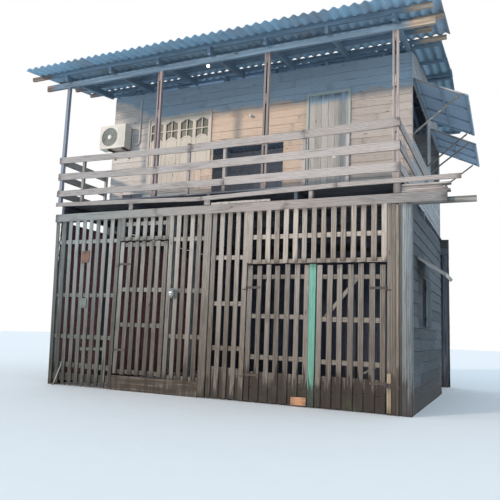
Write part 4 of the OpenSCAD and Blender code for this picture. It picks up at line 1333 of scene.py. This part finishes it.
def gate_leaf(k, node, body):
    """A leaf of slats on rails; the large gate's two have boards across their feet."""
    lo, hi = span(node)
    rows = slats(lo[0], hi[0], lo[2], hi[2], 60 + k, 0.006, head=0.03 if k else 0.01)
    rows += rails(lo[0], hi[0], LEVELS[node], 63 + k)
    across, thick = X * (hi[0] - lo[0]), Y * RAIL_T
    if k:
        rows.append(plank((lo[0], SLAT_T, lo[2]), across, Z * 0.24, thick))
        rows.append(plank((lo[0], SLAT_T, lo[2] + 0.245), across, Z * 0.25, thick))
    if k == 2:
        rows.append(plank((lo[0] + 0.12, BEHIND_SLATS, 1.475), (0.5, 0, 0.61), X * 0.08, Y * 0.029))
        rows.append(plank((6.29, BEHIND_SLATS, 0.58), (0.25, 0, 0.14), X * 0.06, Y * 0.029))
    material = gate_wood() if k else fence_wood()
    lay(f"{node}_boards", rows, material, 66 + k, FENCE_SHAPE, [node], body=body)
    heads = nail_heads(slat_nails(lo[0], hi[0], LEVELS[node], 70 + k))
    show(f"{node}_nails", heads, rust(), body=body)


def left_leaf_boards():
    """The green board on the large gate's left leaf, and the new patch at its foot."""
    lo, hi = span("green_board")
    rows = [plank((lo[0], 0, lo[2]), Z * (hi[2] - lo[2]), X * (hi[0] - lo[0]), Y * hi[1])]
    part = boards(rows, 75, 0.003, 0.001, 20, 0.004)
    show("green_gate_board", part, green_paint(), ["green_board"], "gate_left_leaf")
    rows = [plank((5.165, -0.0165, 0.024), (0.262, 0, 0.004), Z * 0.128, Y * 0.016)]
    lay("new_patch_board", rows, wood("new patch board"), 160, (0.001,), body="gate_left_leaf")


def foot_piece():
    """A pale strip in two lengths at the fence's foot, right of the large gate."""
    rows = [
        plank((6.722, -0.0145, z), (0.002, 0, h), X * 0.062, Y * 0.014)
        for z, h in ((0.03, 0.37), (0.475, 0.145))
    ]
    lay("pale_foot_piece", rows, wood("tan foot piece"), 161, (0.001,))


class BuildGates(bpy.types.Operator):
    """The small gate and the large gate's two leaves, each riding on its own body"""

    bl_idname = "house.build_gates"
    bl_label = "Gates"

    def execute(self, context):
        gate_leaf(0, "small_gate", "small_gate")
        gate_leaf(1, "large_gate_left", "gate_left_leaf")
        gate_leaf(2, "large_gate_right", "gate_right_leaf")
        left_leaf_boards()
        for node in ("gate_hinges", "small_gate_straps", "left_leaf_straps", "right_leaf_straps"):
            finish_node(node, rust(), 0.0008)
        foot_piece()
        return {"FINISHED"}


GROUND_WALLS = dict(joint=3.0, deep=0.009, shape=(0.006, 0.003, 10), slot="weathered_wood")
SIDE_WINDOW = (0.8, 1.58, 1.38, 2.23)
LINING_PITCH = 0.14


def ground_walls():
    """The lapped right wall round its window, and the plain left and rear ones."""
    lo, hi = span("ground_right_wall")
    board_wall(
        "ground_right_boards", ["ground_right_wall"], wood("lapped wall boards"), 80, ((hi[0], 0, 0), Y, X),
        (lo[1], hi[1]), (0.0, hi[2]), 0.19, (0.014, 0.02, -0.006), 0.7, [SIDE_WINDOW], **GROUND_WALLS
    )
    plain = dict(course=0.2, lapping=(0.01, 0.02, -0.012), pitch=0.8, **GROUND_WALLS)
    inner = wood("ground storey boards")
    lo, hi = span("ground_left_wall")
    closing = [plank((-0.03, 1.55, hi[2] + 0.002), Y * 4.6, Z * 0.154, X * 0.02)]
    face = (lo[0], 0, 0), Y, -X
    ends, heights = (lo[1], hi[1]), (0.0, hi[2])
    nodes = ["ground_left_wall"]
    board_wall("ground_left_boards", nodes, inner, 83, face, ends, heights, extra=closing, **plain)
    lo, hi = span("ground_rear_wall")
    face = (0, hi[1], 0), X, Y
    ends, heights = (lo[0], hi[0]), (0.0, hi[2])
    board_wall("ground_rear_boards", ["ground_rear_wall"], inner, 86, face, ends, heights, **plain)


def linings():
    """Upright boards inside the rear and left walls, dark red on the left and, behind, a dark blue-grey that
    is painted shade for the dark inside and shows near black.
    """
    rear, left = span("ground_rear_wall")[0][1], span("ground_left_wall")[1][0]
    rng = np.random.default_rng(88)
    rows = []
    for x in np.arange(0.1, 6.95, LINING_PITCH):
        at = x, rear - SLAT_T - rng.uniform(0, 0.004), 0.01
        rows.append(plank(at, Z * rng.uniform(3.2, 3.28), X * 0.143, Y * 0.014))
    lay("rear_lining", rows, wood("rear lining boards"), 89, (0.002,))
    rows = []
    for y in np.arange(0.2, 6.0, LINING_PITCH):
        at = left + 0.002 + rng.uniform(0, 0.004), y, 0.01
        rows.append(plank(at, Z * rng.uniform(3.2, 3.28), Y * 0.143, X * 0.014))
    lay("left_lining", rows, wood("left lining boards"), 90, (0.002,))


def shutter():
    """Five upright boards on two ledges, with a wide one behind."""
    lo, hi = span("side_window_shutter")
    _, wide, tall = hi - lo
    w = wide / 5
    rows = [
        plank((hi[0] - 0.006, lo[1] + w * m, lo[2]), Z * tall, Y * (w - 0.003), X * -0.014)
        for m in range(5)
    ]
    rows += [
        plank((hi[0], lo[1] + 0.02, z), Y * (wide - 0.04), Z * 0.08, X * -0.008)
        for z in (lo[2] + 0.1, hi[2] - 0.2)
    ]
    rows.append(plank((lo[0] + 0.005, lo[1], lo[2] + 0.2), Y * wide, Z * 0.4, X * -0.005))
    nodes = ["side_window_shutter"]
    lay("shutter_boards", rows, wood("lapped wall boards"), 90, (0.002,), nodes)


def sloped(degrees):
    """Directions down and square to a leaf that hangs out from the right wall, and its slope's
    cosine and sine."""
    a = math.radians(degrees)
    c, s = math.cos(a), math.sin(a)
    return np.array((c, 0, -s)), np.array((s, 0, c)), c, s


def awning():
    """Four boards across the slope on three battens, with closed edges."""
    lo, hi = span("side_awning")
    down, up, c, s = sloped(34)
    at = np.array((lo[0], lo[1], hi[2] - 0.02 * c))
    run, wide = (hi[0] - lo[0] - 0.02 * s) / c, hi[1] - lo[1]
    rows = [
        plank(at + down * run * m / 4 + up * 0.02, Y * wide, down * (run / 4 - 0.002), -up * 0.012)
        for m in range(4)
    ]
    rows += [
        plank(at + Y * y + up * 0.008, down * run, Y * 0.05, -up * 0.008) for y in (0.0, 0.5, wide - 0.05)
    ]
    boards_of = wood("grey patch boards")
    lay("awning_boards", rows, boards_of, 91, (0.002,), ["side_awning"])
    rows = [
        plank(at + Y * 0.002 + up * 0.0075, down * (run - 0.032), Y * 0.03, -up * 0.05),
        plank(at + down * (run - 0.03) + up * 0.0075, Y * wide, down * 0.03, -up * 0.045),
    ]
    lay("awning_edges", rows, wood("pale battens"), 92, (0.002,))


class BuildGroundWalls(bpy.types.Operator):
    """Lapped board walls of the ground storey, with the side window's shutter and awning"""

    bl_idname = "house.build_ground_walls"
    bl_label = "Ground walls"

    def execute(self, context):
        ground_walls()
        linings()
        shutter()
        awning()
        return {"FINISHED"}


# Upper storey: openings of the front wall as (left, right, foot, head)

WINDOW = (0.98, 2.63, 4.7, 5.95)
DOOR = (4.81, 5.72, 3.69, 6.01)
LOW = (2.69, 4.32, 3.69, 5.07)
GAP = (0.36, 0.92, 4.03, 4.2)
PANEL = (0.98, 2.4, 4.22, 4.7)
PATCH = (1.28, 1.94, 3.74, 3.93)


def front_wall():
    """Pale boards round the openings, with ten upright boards under the window and patches."""
    opened = [WINDOW, DOOR, LOW, GAP]
    board_wall(
        "front_boards", ["front_wall_left", "front_wall_over_opening", "front_wall_right"], wall_wood(), 100,
        ((0, WALL_Y, 0), X, -Y), (0, HOUSE_W), (FLOOR_Z, WALL_TOP), sizes().wall_course, pitch=0.62,
        holes=[*opened, PANEL, PATCH], stud_holes=opened, shape=(0.004, 0.0014, 14),
        extra=upright_boards(*PANEL, count=10, gap=0.003, y=WALL_Y + 0.004, thick=0.016)
    )
    rows = upright_boards(*PATCH, count=9, gap=0.004, y=WALL_Y + 0.002, thick=0.012)
    rows.append(plank((2.0, WALL_Y - 0.012, 3.76), X * 0.46, Z * 0.14, Y * 0.011))
    rows.append(plank((2.5, WALL_Y - 0.012, 3.86), X * 0.14, Z * 0.1, Y * 0.011))
    lay("patched_boards", rows, wood("grey patch boards"), 104, (0.002,))


def gable_and_rear_walls():
    """The right wall round its two openings, the left one, both with gables, and the rear one."""
    lo, hi = span("right_wall_upper")
    y0, y1 = lo[1], hi[1]
    eave = WALL_TOP + 0.0876
    slope = (hi[2] - eave) / ((y1 - y0) / 2)

    def gable_ends(z):
        """The wall's two ends at a height: they draw in under the roof's slope above the eave."""
        inset = max(0.0, (z - eave) / slope)
        return y0 + inset, y1 - inset

    z0, z1 = span("right_wall_lower")[1][2], lo[2]
    openings = [
        (span(n)[0][1] + 0.05, span(n)[1][1] - 0.05, z0, z1) for n in ("front_flap", "rear_flap")
    ]
    material, course = wood("side wall boards"), sizes().wall_course
    gable = dict(ends=(y0, y1), heights=(FLOOR_Z, hi[2] - 0.01), course=course, stud_top=eave - 0.02)
    face, nodes = ((HOUSE_W, 0, 0), Y, X), [f"right_wall_{n}" for n in ("lower", "piers", "upper")]
    laps = 0.008, 0.018, -0.004
    gable["limits"] = gable_ends
    board_wall("right_boards", nodes, material, 110, face, lapping=laps, holes=openings, **gable)
    laps = 0.006, 0.018, -0.004
    face = (0, 0, 0), Y, -X
    board_wall("left_boards", ["left_wall"], material, 113, face, lapping=laps, **gable)
    face, heights = ((0, REAR_Y, 0), X, Y), (FLOOR_Z, span("rear_wall")[1][2])
    board_wall(
        "rear_boards", ["rear_wall"], material, 116, face, (0, HOUSE_W), heights, course, laps,
        stud_top=WALL_TOP
    )


class BuildUpperWalls(bpy.types.Operator):
    """Board walls of the upper storey, with their gables, studs and patches"""

    bl_idname = "house.build_upper_walls"
    bl_label = "Upper walls"

    def execute(self, context):
        front_wall()
        gable_and_rear_walls()
        return {"FINISHED"}


def window_beads():
    """A round bead about each leaf's opening: a parabola over a straight-sided frame."""
    lo, hi = span("window_leaves")
    w, foot, y = (hi[0] - lo[0]) / 4, lo[2] + 0.06, lo[1] - 0.001
    u, t = np.linspace(-1, 1, 25), np.linspace(0, 1, 8)
    beads = []
    for k in range(4):
        x = lo[0] + (k + 0.5) * w + u * (w / 2 - 0.055)
        z = hi[2] - 0.56 + (w - 0.08) / 4 * (1 - u * u)
        right = points(x[-1], y, z[-1] + (foot - z[-1]) * t)[1:]
        base = points(x[-1] + (x[0] - x[-1]) * t, y, foot)[1:]
        left = points(x[0], y, foot + (z[0] - foot) * t)[1:-1]
        beads.append(tube(np.concatenate([points(x, y, z), right, base, left]), 0.006, 8, True))
    show("window_beads", beads, cream_paint(), smooth=True)


def door():
    """Two leaves of three boards on three ledges each, and a turned knob on its plate."""
    lo, hi = span("upper_door")
    mid = (lo[0] + hi[0]) / 2
    rows = []
    for a, b in ((lo[0], mid), (mid, hi[0])):
        box = a + 0.001, b - 0.001, lo[2], hi[2]
        rows += upright_boards(*box, count=3, gap=0.002, y=lo[1] + 0.004, thick=0.016)
        rows += [
            plank((a + 0.02, lo[1] + 0.02, z), X * (b - a - 0.04), Z * 0.1, Y * 0.01)
            for z in (lo[2] + 0.2, lo[2] + 1.05, hi[2] - 0.3)
        ]
    lay("door_boards", rows, wood("door boards"), 120, (0.002, 0.001, 14), ["upper_door"])
    at = np.array((mid + 0.13, lo[1] + 0.004, FLOOR_Z + 1.02))
    turned = [(0.024, 0), (0.024, 0.004), (0.01, 0.008), (0.009, 0.03)]
    turned += [(0.022, 0.038), (0.026, 0.05), (0.018, 0.06), (0.002, 0.062)]
    plate = boards([plank(at + (-0.03, 0.0, -0.09), Z * 0.18, X * 0.06, Y * -0.004)], 121, 0, 0, 2, 0.001)
    parts = [lathe(turned, at, STREET, 24), plate]
    show("door_handle", parts, cover("white enamel"), smooth=True)


class BuildOpenings(bpy.types.Operator):
    """Window leaves, frames, panes and the upper door"""

    bl_idname = "house.build_openings"
    bl_label = "Window and door"

    def execute(self, context):
        finish_node("front_frames", frame_paint(), 0.003)
        finish_node("window_leaves", cream_paint(), 0.003)
        finish_node("window_glass", pane_glass("dusty panes"))
        window_beads()
        door()
        return {"FINISHED"}


# Veranda

POST_W = 0.1
POST_BOARD = 0.036
RAIL_BOARD = (0.148, 0.0245)
POST_LIP = -span("veranda_posts")[0][0]
POST_PITCH = (HOUSE_W + POST_LIP - POST_W) / 3
RAIL_FEET = [FLOOR_Z + 0.14 + m * 0.355 for m in range(3)]
RAIL_TOP = RAIL_FEET[-1] + 0.15


def veranda_posts():
    """A single post at the left and three double ones of two boards with blocks between."""
    lo, hi = span("veranda_posts")
    _, deep, tall = hi - lo
    rows = [plank(lo, Z * tall, X * deep, Y * deep)]
    for k in (1, 2, 3):
        x = k * POST_PITCH - POST_LIP
        rows += [
            plank((x + d, lo[1], lo[2]), Z * tall, X * (POST_BOARD - HAIR), Y * deep)
            for d in (0, POST_W - POST_BOARD + HAIR)
        ]
        inner = X * (POST_W - 2 * POST_BOARD), Y * (deep - 0.004)
        rows += [
            plank((x + POST_BOARD, lo[1] + 0.002, lo[2] + (tall - 0.2) * m / 3), Z * 0.2, *inner)
            for m in range(4)
        ]
    shape = 0.003, 0.0012, 16
    lay("veranda_post_boards", rows, wood("veranda post wood"), 130, shape, ["veranda_posts"])


def front_rails():
    """Three runs of boards that sag between their joints, and short posts behind them."""
    lo, hi = span("front_railing")
    left, right = lo[0], hi[0]
    runs = (
        ([left, 3.78, right], [0.004, 0.03, 0.022], [0.125, 0.15]),
        ([left, 2.28, right], [0, 0.05, 0.02], [0.138, 0.15]),
        ([left, 3.03, 5.3, right], [-0.006, 0.04, 0.018, -0.022], [0.128, 0.145, 0.15]),
    )
    rows = []
    for z, run in zip(RAIL_FEET, runs):
        rows += end_to_end(*run, y=-0.025, z=z, gap=0.003, thick=RAIL_BOARD[1])
    rng = np.random.default_rng(131)
    for p in (0.25, 4 / 3, 5 / 3, 7 / 3, 8 / 3):
        tall = RAIL_TOP - FLOOR_Z - rng.uniform(0, 0.02)
        rows.append(plank((p * POST_PITCH - POST_LIP, HAIR, FLOOR_Z), Z * tall, X * 0.058, Y * 0.058))
    lay("front_rail_boards", rows, wood("railing boards"), 132, (0.005, 0.003, 16), ["front_railing"])


def side_rails():
    """Level boards and one short post on each side; the right side's upper boards stop short."""
    grey, (tall, thick) = wood("railing boards"), RAIL_BOARD
    post = RAIL_TOP - FLOOR_Z
    lo, hi = span("left_railing")
    rows = [plank((lo[0], 0, z), Y * hi[1], Z * tall, X * thick) for z in RAIL_FEET]
    rows.append(plank((lo[0] + 0.0255, hi[1] - 0.059, FLOOR_Z), Z * post, Y * 0.058, X * 0.059))
    lay("left_rail_boards", rows, grey, 133, (0.005, 0.003, 12), ["left_railing"])
    hi = span("right_railing")[1]
    lengths = 1.9, 1.9, hi[1]
    rows = [plank((hi[0], 0, z), Y * l, Z * tall, X * -thick) for z, l in zip(RAIL_FEET, lengths)]
    rows.append(plank((HOUSE_W + HAIR, 0.75, FLOOR_Z), Z * (post - 0.02), Y * 0.05, X * -0.05))
    lay("right_rail_boards", rows, grey, 134, (0.005, 0.003, 14), ["right_railing"])


class BuildVeranda(bpy.types.Operator):
    """Posts, railings and their short posts"""

    bl_idname = "house.build_veranda"
    bl_label = "Veranda posts and railings"

    def execute(self, context):
        veranda_posts()
        front_rails()
        side_rails()
        return {"FINISHED"}


# Roofs

SHEET_LAP = 0.25
SHEET_GAP = 0.0008
VERANDA_PITCH = 8
MAIN_PITCH = 9
MAIN_RUN = 2.35 / math.cos(math.radians(MAIN_PITCH))
CAP_T = 0.006


class Slope:
    """A roof slope's own frame: s runs up the slope from its foot and h stands square to it."""

    def __init__(self, y, z, degrees):
        a = math.radians(degrees)
        self.foot = np.array((0, y, z), float)
        self.up = np.array((0, math.cos(a), math.sin(a)))
        self.out = np.array((0, -math.sin(a), math.cos(a)))

    def at(self, x, s, h):
        """Points of the slope from arrays of the same shape."""
        x, s, h = (e[..., None] for e in np.broadcast_arrays(x, s, h))
        return self.foot + x * X + s * self.up + h * self.out


def slopes():
    """Each slope's piece, CAD node and frame, its two ends up the slope, how high its sheets lie
    over the frame, the shares of it that its rows cover, a seed, 1 where it rises to the rear or
    -1, and where its purlins are."""
    veranda = Slope(0, span("veranda_posts")[1][2] + 0.12, VERANDA_PITCH)
    front, rear = Slope(WALL_Y, WALL_TOP, MAIN_PITCH), Slope(REAR_Y, WALL_TOP, -MAIN_PITCH)
    lapped, short_lap, backwards = [(0, 0.56), (0.48, 1)], [(0, 0.55), (0.48, 1)], [(0.46, 1), (0, 0.54)]
    over_veranda, over_room = 0.2009, 0.1309
    return (
        ("veranda_sheets", "veranda_roof", veranda, (-0.52, 1.52), over_veranda, lapped, 140, 1,
         (-0.07, 0.452, 0.973, 1.495)),
        ("main_front_sheets", "main_roof_front", front, (0.075, MAIN_RUN), over_room, short_lap, 141, 1,
         (0.15, 1.22)),
        ("main_rear_sheets", "main_roof_rear", rear, (-MAIN_RUN, 0.4), over_room, backwards, 142, -1,
         (-1.23, -0.15, 0.31)),
    )


def roof_sheets(slope, x0, waves, ends, base, laps, seed, rise_to):
    """Corrugated sheets on a slope: h = base + (1 - cos(2 pi x / pitch)) * height / 2, a skin of even
    thickness. Sheets lie side by side, every second one over its neighbours by a quarter wave, in
    rows up the slope; each row's foot lies on the head of the row below."""
    rng = np.random.default_rng(seed)
    sheet = sizes()
    thick, wide = sheet.sheet_thickness, sheet.sheet_waves
    t = np.linspace(0, 1, 9)
    down = 1 - t if rise_to > 0 else t
    parts = []
    for j, (a, b) in enumerate(laps):
        for i in range(math.ceil(waves / wide)):
            over = i % 2
            w0 = i * wide - SHEET_LAP * over
            w1 = min(waves, (i + 1) * wide + SHEET_LAP * over)
            x = np.linspace(w0, w1, round((w1 - w0) * 10) + 1)
            wave = sheet.sheet_rise / 2 * (1 - np.cos(2 * np.pi * x))
            slip = abs(rng.uniform(-0.008, 0.008) * (j == 0))
            sa, sb = (ends[0] + (ends[1] - ends[0]) * share for share in (a, b))
            sa, sb = sa + max(rise_to, 0) * slip, sb + min(rise_to, 0) * slip
            step = (thick + SHEET_GAP) * over + (thick * 0.5 + HAIR) * down * (j > 0)
            sag = -0.003 * rng.uniform(0, 1) * np.sin(np.pi * t)
            shear = rng.uniform(-0.004, 0.004) * t
            h = base + np.concatenate([wave, wave[::-1] + thick])[None] + (step + sag)[:, None]
            px = x0 + np.concatenate([x, x[::-1]])[None] * sheet.sheet_wave + shear[:, None]
            parts.append(outwards(loft(slope.at(px, (sa + (sb - sa) * t)[:, None], h))))
    return joined(parts)


def crest_screws(slope, x0, waves, places, base):
    """A domed screw with its washer on every second crest over each purlin."""
    sheet = sizes()
    x = x0 + (np.arange(0, waves, 2) + 0.5) * sheet.sheet_wave
    top = base + sheet.sheet_rise + sheet.sheet_thickness * 1.7
    dome = [(0.014, -0.004), (0.015, 0.001), (0.008, 0.003), (0.007, 0.006), (0.003, 0.009)]
    places = np.concatenate([slope.at(x, s, top) for s in places])
    return stamped(lathe(dome, (0, 0, 0), slope.out, 10), places)


def ridge_pieces():
    """Seven caps, each over the next: two slopes with a small roll, h = fall |t| less two bells."""
    lo, hi = span("ridge_cap")
    mid, half = (lo[1] + hi[1]) / 2, (hi[1] - lo[1]) / 2
    top, fall = hi[2] - CAP_T, hi[2] - lo[2] - CAP_T
    t = np.linspace(-1, 1, 41)
    roll = 0.016 * np.exp(-((t * 4.5) ** 2)) - 0.012 * np.exp(-((t * 9) ** 2))
    curve = top - fall * np.abs(t) + roll
    y = mid + np.concatenate([t, t[::-1]]) * half
    z = np.concatenate([curve, curve[::-1] + CAP_T])
    edges = np.linspace(lo[0], hi[0], 8)
    return [
        outwards(loft(points(np.linspace(a, min(b + 0.08, hi[0]), 6)[:, None], y, z + 0.0035 * (k % 2))))
        for k, (a, b) in enumerate(zip(edges, edges[1:]))
    ]


class BuildRoofs(bpy.types.Operator):
    """Roof sheets, ridge pieces and their screws, over the CAD's own rafters and purlins"""

    bl_idname = "house.build_roofs"
    bl_label = "Roofs"

    def execute(self, context):
        finish_node("veranda_frame", wood("veranda roof timber"), 0.004)
        finish_node("main_frame", wood("main roof timber"), 0.004)
        grey = fibre_cement("fibre cement sheet")
        screws = []
        for name, node, slope, ends, base, laps, seed, rise_to, purlins in slopes():
            lo, hi = span(node)
            waves = round((hi[0] - lo[0]) / sizes().sheet_wave)
            part = roof_sheets(slope, lo[0], waves, ends, base, laps, seed, rise_to)
            show(name, part, grey, [node], smooth=True)
            screws.append(crest_screws(slope, lo[0], waves, purlins, base))
        show("sheet_screws", screws, rust(), smooth=True)
        show("ridge_pieces", ridge_pieces(), grey, ["ridge_cap"], smooth=True)
        return {"FINISHED"}


# Flaps and fittings

FLAP_DEGREES = 26
FLAP_RUN = 1.08
BATTEN_W = 0.06


def flap(k, node):
    """Three sheets of board along a flap over level battens, with short ones between them."""
    lo, hi = span(node)
    down, up, c, _ = sloped(FLAP_DEGREES)
    at = np.array((lo[0], lo[1], hi[2] - 0.03 * c))
    w, run = hi[1] - lo[1], FLAP_RUN
    rows = [
        plank(at + Y * w * m / 3 + up * 0.0295, down * run, Y * (w / 3 - 0.003), -up * 0.006)
        for m in range(3)
    ]
    lay(f"{node}_sheets", rows, wood("blue-grey boards"), 150 + k, (0.004, 0.001, 14), [node])
    mid, foot = (run - BATTEN_W) / 2, run - BATTEN_W
    rows = [plank(at + down * s + up * HAIR, Y * w, down * BATTEN_W, up * 0.0228) for s in (0, mid, foot)]
    gaps = (BATTEN_W, mid), (mid + BATTEN_W, foot)
    short, edge = (
        [plank(at + Y * y + down * s + up * 0.001, down * (e - s), Y * 0.05, up * 0.022)
         for y in places for s, e in gaps]
        for places in ((w / 3 - 0.03, 2 * w / 3 - 0.03, w - 0.06), (0.0,))
    )
    shape = 0.002, 0.001, 8
    lay(f"{node}_battens", rows + short, wood("blue-grey battens"), 152 + k, shape)
    lay(f"{node}_edge_batten", edge, wood("pale battens"), 154 + k, shape)


class BuildFlaps(bpy.types.Operator):
    """The two side flaps: boards over battens, and the struts that prop them"""

    bl_idname = "house.build_flaps"
    bl_label = "Side flaps"

    def execute(self, context):
        flap(0, "front_flap")
        flap(1, "rear_flap")
        finish_node("flap_struts", post_timber("x"), 0.002)
        return {"FINISHED"}


def show_cover(name, part, material, nodes=()):
    """Shows a smooth skin in one of the covers, by its name."""
    show(name, part, cover(material), nodes, smooth=True)


def fan():
    """Grille of wire rings, three blades, the well behind them and the hub. A blade's angle is its
    third of a turn, plus v times a width that grows with u, plus a sweep of u / 2; u runs from the
    hub outwards and v across the blade, which v also tilts."""
    lo, hi = span("ac_unit")
    cx, cz, y = lo[0] + 0.27, (lo[2] + hi[2]) / 2, lo[1]
    rings = []
    for radius in np.linspace(0.06, 0.21, sizes().grille_rings):
        c, s = circle(radius, 48)
        rings.append(tube(points(cx + c, y + 0.004, cz + s), 0.002, 6, True))
    show_cover("fan_grille", rings, "grille wire")
    u, v = np.linspace(0, 1, 9)[:, None], np.linspace(-1, 1, 7)[None, :]
    r = 0.055 + 0.147 * u
    blades = []
    for k in range(3):
        angle = k * 2 * np.pi / 3 + v * (0.45 + 0.42 * u) + 0.5 * u
        face = points(cx + r * np.cos(angle), y + 0.0155 - 0.004 * v, cz + r * np.sin(angle))
        back = face + (0, 0.0015, 0)
        blades.append(outwards(loft(np.concatenate([face, back[:, ::-1]], 1))))
    show_cover("fan_blades", blades, "fan blades")
    well = [(0.219, 0.0002), (0.2185, 0.0012), (0.12, 0.0014), (0.002, 0.0014)]
    show_cover("fan_well", lathe(well, (cx, y + 0.0199, cz), STREET, 48), "fan well")
    hub = [(0.042, 0), (0.042, 0.004), (0.035, 0.009), (0.016, 0.012), (0.002, 0.0125)]
    show_cover("fan_hub", lathe(hub, (cx, y + 0.001, cz), STREET, 32), "hub enamel")


def casing_ribs():
    """Six thin upright ribs right of the fan."""
    lo, hi = span("ac_unit")
    z = np.linspace(lo[2] + 0.05, hi[2] - 0.05, 6)
    ribs = [tube(points(x, lo[1] - 0.001, z), 0.002, 8) for x in np.linspace(hi[0] - 0.19, hi[0] - 0.04, 6)]
    show_cover("casing_ribs", ribs, "aged cream casing")


def pipe_sleeve():
    """Out of the casing, down, round a half circle and up into the wall; the wound tape swells it."""
    lo, hi = span("ac_pipe")
    rad, bend = 0.018, 0.095
    x, y, low = lo[0] + rad, (lo[1] + hi[1]) / 2, lo[2] + bend + rad
    far = x + 2 * bend
    arc = np.linspace(np.pi, 2 * np.pi, 30)
    start = FLOOR_Z + 1.55 + 0.55 * 0.6
    path = np.concatenate(
        [
            [(x - 0.03, y, start), (x - 0.012, y, start - 0.003), (x - 0.003, y, start - 0.012)],
            points(x, y, np.linspace(start - 0.03, low + 0.01, 20)),
            points(x + bend + bend * np.cos(arc), y, low + bend * np.sin(arc)),
            points(far, y, np.linspace(low + 0.01, hi[2] - 0.02, 60)),
            [(far, y + 0.003, hi[2] - 0.008), (far, y + 0.012, hi[2] - 0.002), (far, y + 0.03, hi[2])],
        ]
    )
    radius = rad * (0.97 + 0.03 * np.sin(np.arange(len(path)) * 1.9))
    show_cover("pipe_sleeve", tube(path, radius, 14), "taped sleeve", ["ac_pipe"])


def electricity_meter():
    """A turned body with a deep cover, and a plain dial of two plates."""
    lo, hi = span("electricity_meter")
    x, _, z = (lo + hi) / 2
    body = [(0.095, 0), (0.095, 0.03), (0.09, 0.038), (0.078, 0.041)]
    body += [(0.078, 0.05), (0.076, 0.05), (0.02, 0.052)]
    part = lathe(body, (x, 0, z), STREET, 48)
    show_cover("meter_body", part, "grey moulding", ["electricity_meter"])
    glass = [(0.0755, 0.041), (0.0755, 0.084), (0.072, 0.09), (0.06, 0.092), (0.02, 0.0925)]
    show_cover("meter_cover", lathe(glass, (x, 0, z), STREET, 48), "dull meter cover")
    rows = [
        plank((x - 0.03, -0.0955, z - 0.004), X * 0.06, Z * 0.032, Y * 0.003),
        plank((x - 0.02, -0.0945, z - 0.034), X * 0.04, Z * 0.012, Y * 0.002),
    ]
    lay("meter_dial", rows, cover("white dial plate"), 155, (0, 0, 2, 0.0008))


def wall_lamp():
    """A small turned lamp on the front wall, between the window and the door."""
    turned = [(0.034, 0), (0.034, 0.009), (0.015, 0.015), (0.013, 0.036), (0.022, 0.042)]
    turned += [(0.03, 0.055), (0.03, 0.07), (0.021, 0.08), (0.003, 0.083)]
    show_cover("wall_lamp", lathe(turned, (3.578, WALL_Y - 0.001, 5.706), STREET, 28), "white moulding")


class BuildFittings(bpy.types.Operator):
    """Air conditioner with its bracket and pipe, electricity meter and lamps"""

    bl_idname = "house.build_fittings"
    bl_label = "Fittings"

    def execute(self, context):
        finish_node("ac_unit", cover("aged cream casing"), 0.006)
        finish_node("ac_bracket", rust(), 0.001)
        finish_node("bulb", lamp_glass("lit lamp"))
        fan()
        casing_ribs()
        pipe_sleeve()
        electricity_meter()
        wall_lamp()
        return {"FINISHED"}


class BuildOddments(bpy.types.Operator):
    """Loose things that lie on the beam: stacked planks and a torn strip of board"""

    bl_idname = "house.build_oddments"
    bl_label = "Loose boards"

    def execute(self, context):
        top = span("front_beam")[1][2]
        rows = [
            plank((6.92, 0.0, top + HAIR), (0.76, 0, 0), Y * 0.15, Z * 0.03),
            plank((6.94, 0.01, top + 0.032), (0.70, 0, 0.004), Y * 0.13, Z * 0.032),
            plank((6.93, 0.02, top + 0.068), (0.64, 0, 0.002), Y * 0.12, Z * 0.034),
            plank((6.95, 0.0, top + 0.105), (0.74, 0, 0.004), Y * 0.13, Z * 0.03),
        ]
        lay("stacked_planks", rows, wood("railing boards"), 162, (0.003,))
        rows = [
            plank((3.52, -0.004, top + HAIR), (1.17, 0, 0.003), Y * 0.14, Z * 0.036, (0.25, 0.05)),
            plank((3.62, 0.02, top + 0.038), (0.62, 0, 0.002), Y * 0.1, Z * 0.01, (0.1, 0.2)),
        ]
        lay("torn_board", rows, cover("pale torn board"), 163, (0.004, 0.006, 30, 0.001))
        return {"FINISHED"}


# Panel and run

OPERATORS = (
    BuildStage,
    BuildGroundFrame,
    BuildFence,
    BuildGates,
    BuildGroundWalls,
    BuildUpperWalls,
    BuildOpenings,
    BuildVeranda,
    BuildRoofs,
    BuildFlaps,
    BuildFittings,
    BuildOddments,
)


class HousePanel(bpy.types.Panel):
    """Lists the house's sizes, colours and builders"""

    bl_idname = "HOUSE_PT_builders"
    bl_label = "Stilt house"
    bl_space_type = "VIEW_3D"
    bl_region_type = "UI"
    bl_category = "House"

    def draw(self, context):
        scene = context.scene
        for group in (scene.house_sizes, scene.house_colours, scene.house_light):
            box = self.layout.box()
            for key in group.__annotations__:
                box.prop(group, key)
        for made in OPERATORS:
            self.layout.operator(made.bl_idname)


CLASSES = (HouseSizes, HouseColours, HouseLight, *OPERATORS, HousePanel)


def register():
    for c in CLASSES:
        bpy.utils.register_class(c)
    scene = bpy.types.Scene
    scene.house_sizes = bpy.props.PointerProperty(type=HouseSizes)
    scene.house_colours = bpy.props.PointerProperty(type=HouseColours)
    scene.house_light = bpy.props.PointerProperty(type=HouseLight)


def unregister():
    for key in ("house_sizes", "house_colours", "house_light"):
        delattr(bpy.types.Scene, key)
    for c in reversed(CLASSES):
        bpy.utils.unregister_class(c)


def main():
    register()
    bpy.ops.house.build_stage()
    bpy.ops.house.build_ground_frame()
    bpy.ops.house.build_fence()
    bpy.ops.house.build_gates()
    bpy.ops.house.build_ground_walls()
    bpy.ops.house.build_upper_walls()
    bpy.ops.house.build_openings()
    bpy.ops.house.build_veranda()
    bpy.ops.house.build_roofs()
    bpy.ops.house.build_flaps()
    bpy.ops.house.build_fittings()
    bpy.ops.house.build_oddments()


if __name__ == "__main__":
    main()
